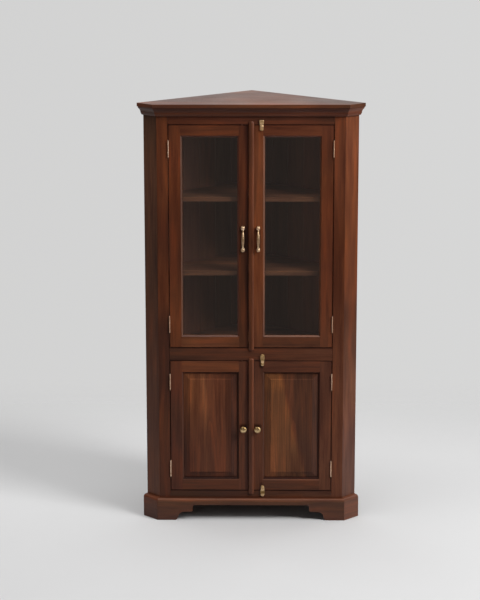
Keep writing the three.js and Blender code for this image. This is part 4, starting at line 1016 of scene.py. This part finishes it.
def turn_catch(name, node, body, x, z, way, reach, shape, material):
    """Lever in front, spindle through the door, cam behind it; way is +1 with the head up and -1 with it down."""
    n = 14
    w_table = CATCH_WIDTHS[shape]
    # raised ridges at the boss, the waist and the rim of the head, hollows between them
    crown_table = [(-8.6, 4.7), (-6.2, 7.4), (-3.6, 8.1), (0.0, 7.4), (4.5, 7.1), (8.5, 8.2), (12.5, 8.6), (15.5, 7.6), (19.0, 6.2), (22.5, 6.3),
                   (26.0, 7.9), (29.5, 7.4), (34.0, 6.8), (38.0, 8.2), (41.5, 7.9), (43.5, 6.4), (45.6, 4.5)]
    zs = [-8.6, -8.35, -8.0, -7.4, -6.6, -5.6, -4.2, -2.4, 0.0, 2.5, 5.0, 7.5, 10.0, 12.0, 13.6, 15.0, 16.6, 18.2, 20.0, 22.0, 24.0, 25.6, 27.4, 29.5, 32.0, 34.5, 36.5, 38.2, 40.0, 41.6, 43.0, 44.2, 45.0, 45.4, 45.6]
    zs = [w_table[0][0]] + [u for u in zs if u > w_table[0][0] + 0.1]
    rings = []
    for u in zs:
        wd = 0.0
        for (a, p), (b, q) in zip(w_table, w_table[1:]):
            if u <= b + 1e-9:
                wd = p + (q - p) * (u - a) / (b - a)
                break
        crown = lerp_table(crown_table, u)
        zz = z + way * (u if u <= 0.0 else u * reach / 45.6)
        if wd <= 1e-6:
            rings.append([(x, -4.2, zz)])
            continue
        ring = [(x + wd, -3.5, zz)]
        for i in range(n + 1):
            a = math.pi * i / n
            ring.append((x + wd * math.cos(a), -4.6 - (crown - 4.6) * math.sin(a) ** 0.62, zz))
        ring.append((x - wd, -3.5, zz))
        rings.append(ring)
    shells = [loft(rings)]
    shells.append(turned([(0.0, -7.0), (5.7, -5.0), (6.0, -4.0), (6.0, -1.0), (4.0, -0.8), (4.0, 24.0), (0.0, 24.0)], x, z, 28))
    shells += slotted_head(x, -7.4, z, 4.3, 1.0, 35.0)
    shells.append(turned([(0.0, -6.0), (2.6, -6.0), (2.5, -7.2), (1.9, -7.7), (0.0, -7.9)], x, z + way * 33.0 * reach / 45.6, 20))
    sgn = -1.0
    cam = [(x + sgn * -5.0, z - 5.0), (x + sgn * -4.0, z - 6.0), (x + sgn * 26.0, z - 6.0), (x + sgn * 29.0, z - 4.5), (x + sgn * 30.0, z), (x + sgn * 29.0, z + 4.5), (x + sgn * 26.0, z + 6.0), (x + sgn * -4.0, z + 6.0), (x + sgn * -5.0, z + 5.0)]
    shells.append(upright_prism_y(cam, 22.6, 25.6))
    shells += [turned([(0.0, 25.0), (3.2, 25.0), (3.0, 26.6), (0.0, 27.0)], x, z, 20)]
    return piece(name, shells, body, material, node, 38)


def tarnish_and_light_stops(z, way, reach, stops):
    """Tarnish and painted highlight and shade stops measured from the spindle towards the head, in rising z."""
    at = [(z + way * (u if u <= 0.0 else u * reach / 45.6), k) for u, k in stops]
    return at if way > 0 else at[::-1]


CATCH_BRASS = (0.82, 0.585, 0.325)
# the catches' stops paint highlight and shade of the lamps along each lever, over tarnish in its hollows
turn_catch("upper_right_turn_button", "upper_right_turn_catch", "upper_right_turn_catch_body", 46.0, 1788.0, 1, 41.5, "flat",
           brass("brass_catch_high", 7.9, CATCH_BRASS, 0.30, 0.88, tarnish_and_light_stops(1788.0, 1, 41.5, [(-6.4, 0.62), (9.0, 1.0), (22.0, 1.05), (33.0, 0.76), (45.6, 1.0)])))
turn_catch("lower_right_turn_button_top", "lower_right_turn_catch_top", "lower_right_turn_catch_top_body", 51.5, 729.5, 1, 45.6, "spoon",
           brass("brass_catch_middle", 8.6, CATCH_BRASS, 0.30, 0.88, tarnish_and_light_stops(729.5, 1, 45.6, [(-8.6, 1.1), (1.5, 0.45), (10.5, 1.15), (20.0, 0.35), (29.0, 0.68), (45.6, 0.45)])))
turn_catch("lower_right_turn_button_bottom", "lower_right_turn_catch_bottom", "lower_right_turn_catch_bottom_body", 53.0, 151.2, -1, 45.6, "oval",
           brass("brass_catch_low", 9.9, CATCH_BRASS, 0.30, 0.88, tarnish_and_light_stops(151.2, -1, 45.6, [(-8.6, 0.40), (10.5, 1.0), (20.0, 0.30), (30.0, 0.32), (38.0, 1.05), (45.6, 0.85)])))


# butt hinges
LEAF_T, LEAF_DEEP, HR = 1.8, 16.5, 2.5
KN = (HINGE_L - 4 * 0.3) / 5.0


def knuckle_outline(side_sign, frame_side):
    """Plan of a knuckle with its leg; frame_side puts the leg on the frame's side of the axis."""
    k = side_sign if frame_side else -side_sign
    a0 = math.degrees(math.asin(2.15 / HR))
    pts = [(HR * math.sin(math.radians(a)), HR * math.cos(math.radians(a))) for a in [a0 + (355.0 - a0) * i / 34.0 for i in range(35)]]
    pts = [(px, py) for px, py in pts]
    pts += [(0.35, 5.4), (2.15, 5.4)]
    return [(k * px, py) for px, py in pts]


def leaf(name, side, level, where, frame_side, node, body):
    s = 1 if side == "right" else -1
    zc = HINGE_Z[level][where]
    ax = s * HINGE_X
    k = s if frame_side else -s
    shells = []
    for i in ((0, 2, 4) if frame_side else (1, 3)):
        z0 = zc - HINGE_L / 2 + i * (KN + 0.3)
        out = knuckle_outline(s, frame_side)
        c = 0.35
        def ring(f, zz):
            return [(ax + px * f if py < 4.2 else ax + px, HINGE_Y + (py * f if py < 4.2 else py), zz) for px, py in out]
        shells.append(loft([ring(0.91, z0), ring(1.0, z0 + c), ring(1.0, z0 + KN - c), ring(0.91, z0 + KN)]))
    x_a, x_b = ax + k * 0.35, ax + k * (0.35 + LEAF_T)
    y_a, y_b = HINGE_Y + HR + 0.35, LEAF_DEEP
    shells.append(box_shell(min(x_a, x_b), max(x_a, x_b), y_a, y_b, zc - HINGE_L / 2, zc + HINGE_L / 2))
    # screw heads, nearly flush in the open face of the leaf
    for dz in (-26.0, 0.0, 26.0):
        yc = (y_a + y_b) / 2 + (1.6 if dz else -1.6)
        rings = []
        for r, d in ((2.7, 0.0), (2.7, 0.06), (2.0, 0.16), (0.0, 0.2)):
            xx = x_a - k * d
            rings.append([(xx, yc, zc + dz)] if r == 0.0 else [(xx, yc + r * math.cos(2 * math.pi * q / 20), zc + dz + r * math.sin(2 * math.pi * q / 20)) for q in range(20)])
        shells.append(loft(rings))
    if frame_side:
        shells.append(turned([(0.0, zc - HINGE_L / 2 - 0.5), (1.3, zc - HINGE_L / 2 - 0.35), (1.6, zc - HINGE_L / 2), (1.6, zc + HINGE_L / 2), (1.3, zc + HINGE_L / 2 + 0.35), (0.0, zc + HINGE_L / 2 + 0.5)], ax, 0, 20, "z", HINGE_Y))
    return piece(name, shells, body, brass_hinge, node, 32)


for level in ("upper", "lower"):
    for side in ("left", "right"):
        for where in ("top", "bottom"):
            base = f"{level}_{side}_{where}_hinge"
            leaf(base + "_fixed_leaf", side, level, where, True, base + "_frame_leaf", "cupboard_case")
            leaf(base + "_swinging_leaf", side, level, where, False, base + "_door_leaf", f"{level}_{side}_door")

for level in ("upper", "lower"):
    zt = DOORS[level]["z"][1]
    prof = [(0.0, zt - 14.0), (4.0, zt - 14.0), (4.0, zt - 0.2), (3.7, zt), (2.9, zt), (2.7, zt - 0.3), (2.5, zt - 0.2)]
    prof += [(2.5 * math.cos(math.radians(a)), zt - 0.2 + 1.85 * math.sin(math.radians(a))) for a in range(15, 90, 15)] + [(0.0, zt + 1.65)]
    piece(f"{level}_left_ball_catch_brass", [turned(prof, -40.0, 0, 28, "z", 10.0)], f"{level}_left_door", brass_hinge, f"{level}_left_ball_catch", 40)


# ------------------------------------------------------------------ stage
def make_floor():
    x0, x1, y0, y1 = -5200.0, 4200.0, -3600.0, 2700.0
    me = bpy.data.meshes.new("floor")
    me.from_pydata([pt(x0, y0, -0.2), pt(x1, y0, -0.2), pt(x1, y1, -0.2), pt(x0, y1, -0.2)], [], [[0, 1, 2, 3]])
    m, t, out = new_material("floor_paint")
    tc = add(t, "ShaderNodeTexCoord")
    n = noise(t, tc.outputs["Object"], 1.1, 3.0, 0.5)
    paint = ramp(t, n, [(0.3, (0.700, 0.700, 0.702)), (0.7, (0.722, 0.722, 0.724))])
    # the floor throws less light back up than it shows
    path = add(t, "ShaderNodeLightPath")
    paint = mix(t, path.outputs["Is Diffuse Ray"], paint, (0.26, 0.26, 0.26))
    p = add(t, "ShaderNodeBsdfPrincipled", None, Base_Color=paint, Roughness=0.85)
    p.inputs["Specular IOR Level"].default_value = 0.15
    sep = add(t, "ShaderNodeSeparateXYZ", None, i0=tc.outputs["Object"])
    gone = remap(t, sep.outputs[1], 0.7, 2.3, 0.0, 1.0, True)
    # further forward the floor is only there to be looked at
    forward = remap(t, sep.outputs[1], -1.498, -1.499, 0.0, 1.0)
    gone = math_node(t, "MAXIMUM", gone, math_node(t, "MULTIPLY", forward, math_node(t, "SUBTRACT", 1.0, path.outputs["Is Camera Ray"])))
    clear = add(t, "ShaderNodeBsdfTransparent")
    both = add(t, "ShaderNodeMixShader", None, i0=gone, i1=p.outputs[0], i2=clear.outputs[0])
    t.links.new(both.outputs[0], out.inputs[0])
    me.materials.append(m)
    o = bpy.data.objects.new("floor", me)
    bpy.context.scene.collection.objects.link(o)


make_floor()


def area(name, loc, aim, size, power, shape="DISK", size_y=None, colour=(1.0, 1.0, 1.0), spread=None):
    d = bpy.data.lights.new(name, "AREA")
    d.shape = shape
    d.size = size
    if size_y:
        d.size_y = size_y
    d.energy = power
    d.color = colour
    if spread:
        d.spread = math.radians(spread)
    o = bpy.data.objects.new(name, d)
    o.location = loc
    o.rotation_mode = "QUATERNION"
    o.rotation_quaternion = (Vector(aim) - Vector(loc)).to_track_quat("-Z", "Y")
    o.visible_camera = False
    bpy.context.scene.collection.objects.link(o)
    return o


# key from the right front, about 37 degrees up
key_dir = Vector((0.640, -0.480, 0.600)).normalized()
area("key", Vector((0.0, -0.15, 1.3)) + key_dir * 6.0, (0.0, -0.15, 1.3), 2.4, 87.0, spread=110.0)
area("overhead", (-1.2, 0.0, 4.8), (-0.8, 0.0, 0.0), 4.6, 168.0, "RECTANGLE", 4.6)
area("side", (4.6, -2.2, 2.2), (0.3, -0.2, 1.2), 1.2, 52.0, "RECTANGLE", 1.8)
area("fill", (-2.0, -6.2, 2.3), (0.0, 0.0, 0.9), 2.4, 14.0)
area("rear", (2.7, 1.7, 4.0), (1.9, 1.0, 0.0), 2.4, 36.0)

world = bpy.data.worlds.new("studio")
bpy.context.scene.world = world
world.use_nodes = True
wt = world.node_tree
wt.nodes.clear()
w_out = wt.nodes.new("ShaderNodeOutputWorld")
w_tc = add(wt, "ShaderNodeTexCoord")
w_sep = add(wt, "ShaderNodeSeparateXYZ", None, i0=w_tc.outputs["Generated"])
back = remap(wt, w_sep.outputs[1], 0.25, 0.75, 0.0, 1.0, True)
low = remap(wt, w_sep.outputs[2], 0.62, 0.28, 0.0, 1.0, True)
above = remap(wt, w_sep.outputs[2], -0.15, 0.05, 0.0, 1.0, True)
band = math_node(wt, "MULTIPLY", math_node(wt, "MULTIPLY", back, low), above)
path = add(wt, "ShaderNodeLightPath")
soft = mix(wt, band, (0.075, 0.075, 0.076), (0.40, 0.40, 0.40))
shine = mix(wt, band, (0.235, 0.185, 0.165), (0.56, 0.57, 0.57))
lit = mix(wt, path.outputs["Is Glossy Ray"], soft, shine)
seen = path.outputs["Is Camera Ray"]
drop = remap(wt, w_sep.outputs[0], -0.16, 0.13, 0.0, 1.0)
paper = mix(wt, drop, (0.645, 0.644, 0.642), (0.676, 0.676, 0.673))
lit = mix(wt, seen, lit, paper)
w_bg = add(wt, "ShaderNodeBackground", None, i0=lit, i1=1.0)
wt.links.new(w_bg.outputs[0], w_out.inputs[0])

sc = bpy.context.scene
sc.view_settings.view_transform = "Standard"
sc.view_settings.look = "None"
sc.view_settings.exposure = 0.0
sc.view_settings.gamma = 1.0
sc.cycles.use_denoising = True
sc.cycles.max_bounces = 8
sc.cycles.diffuse_bounces = 4
sc.cycles.glossy_bounces = 4
sc.cycles.transparent_max_bounces = 12
sc.cycles.sample_clamp_indirect = 4.0

# ------------------------------------------------------------------ update
bpy.context.view_layer.update()
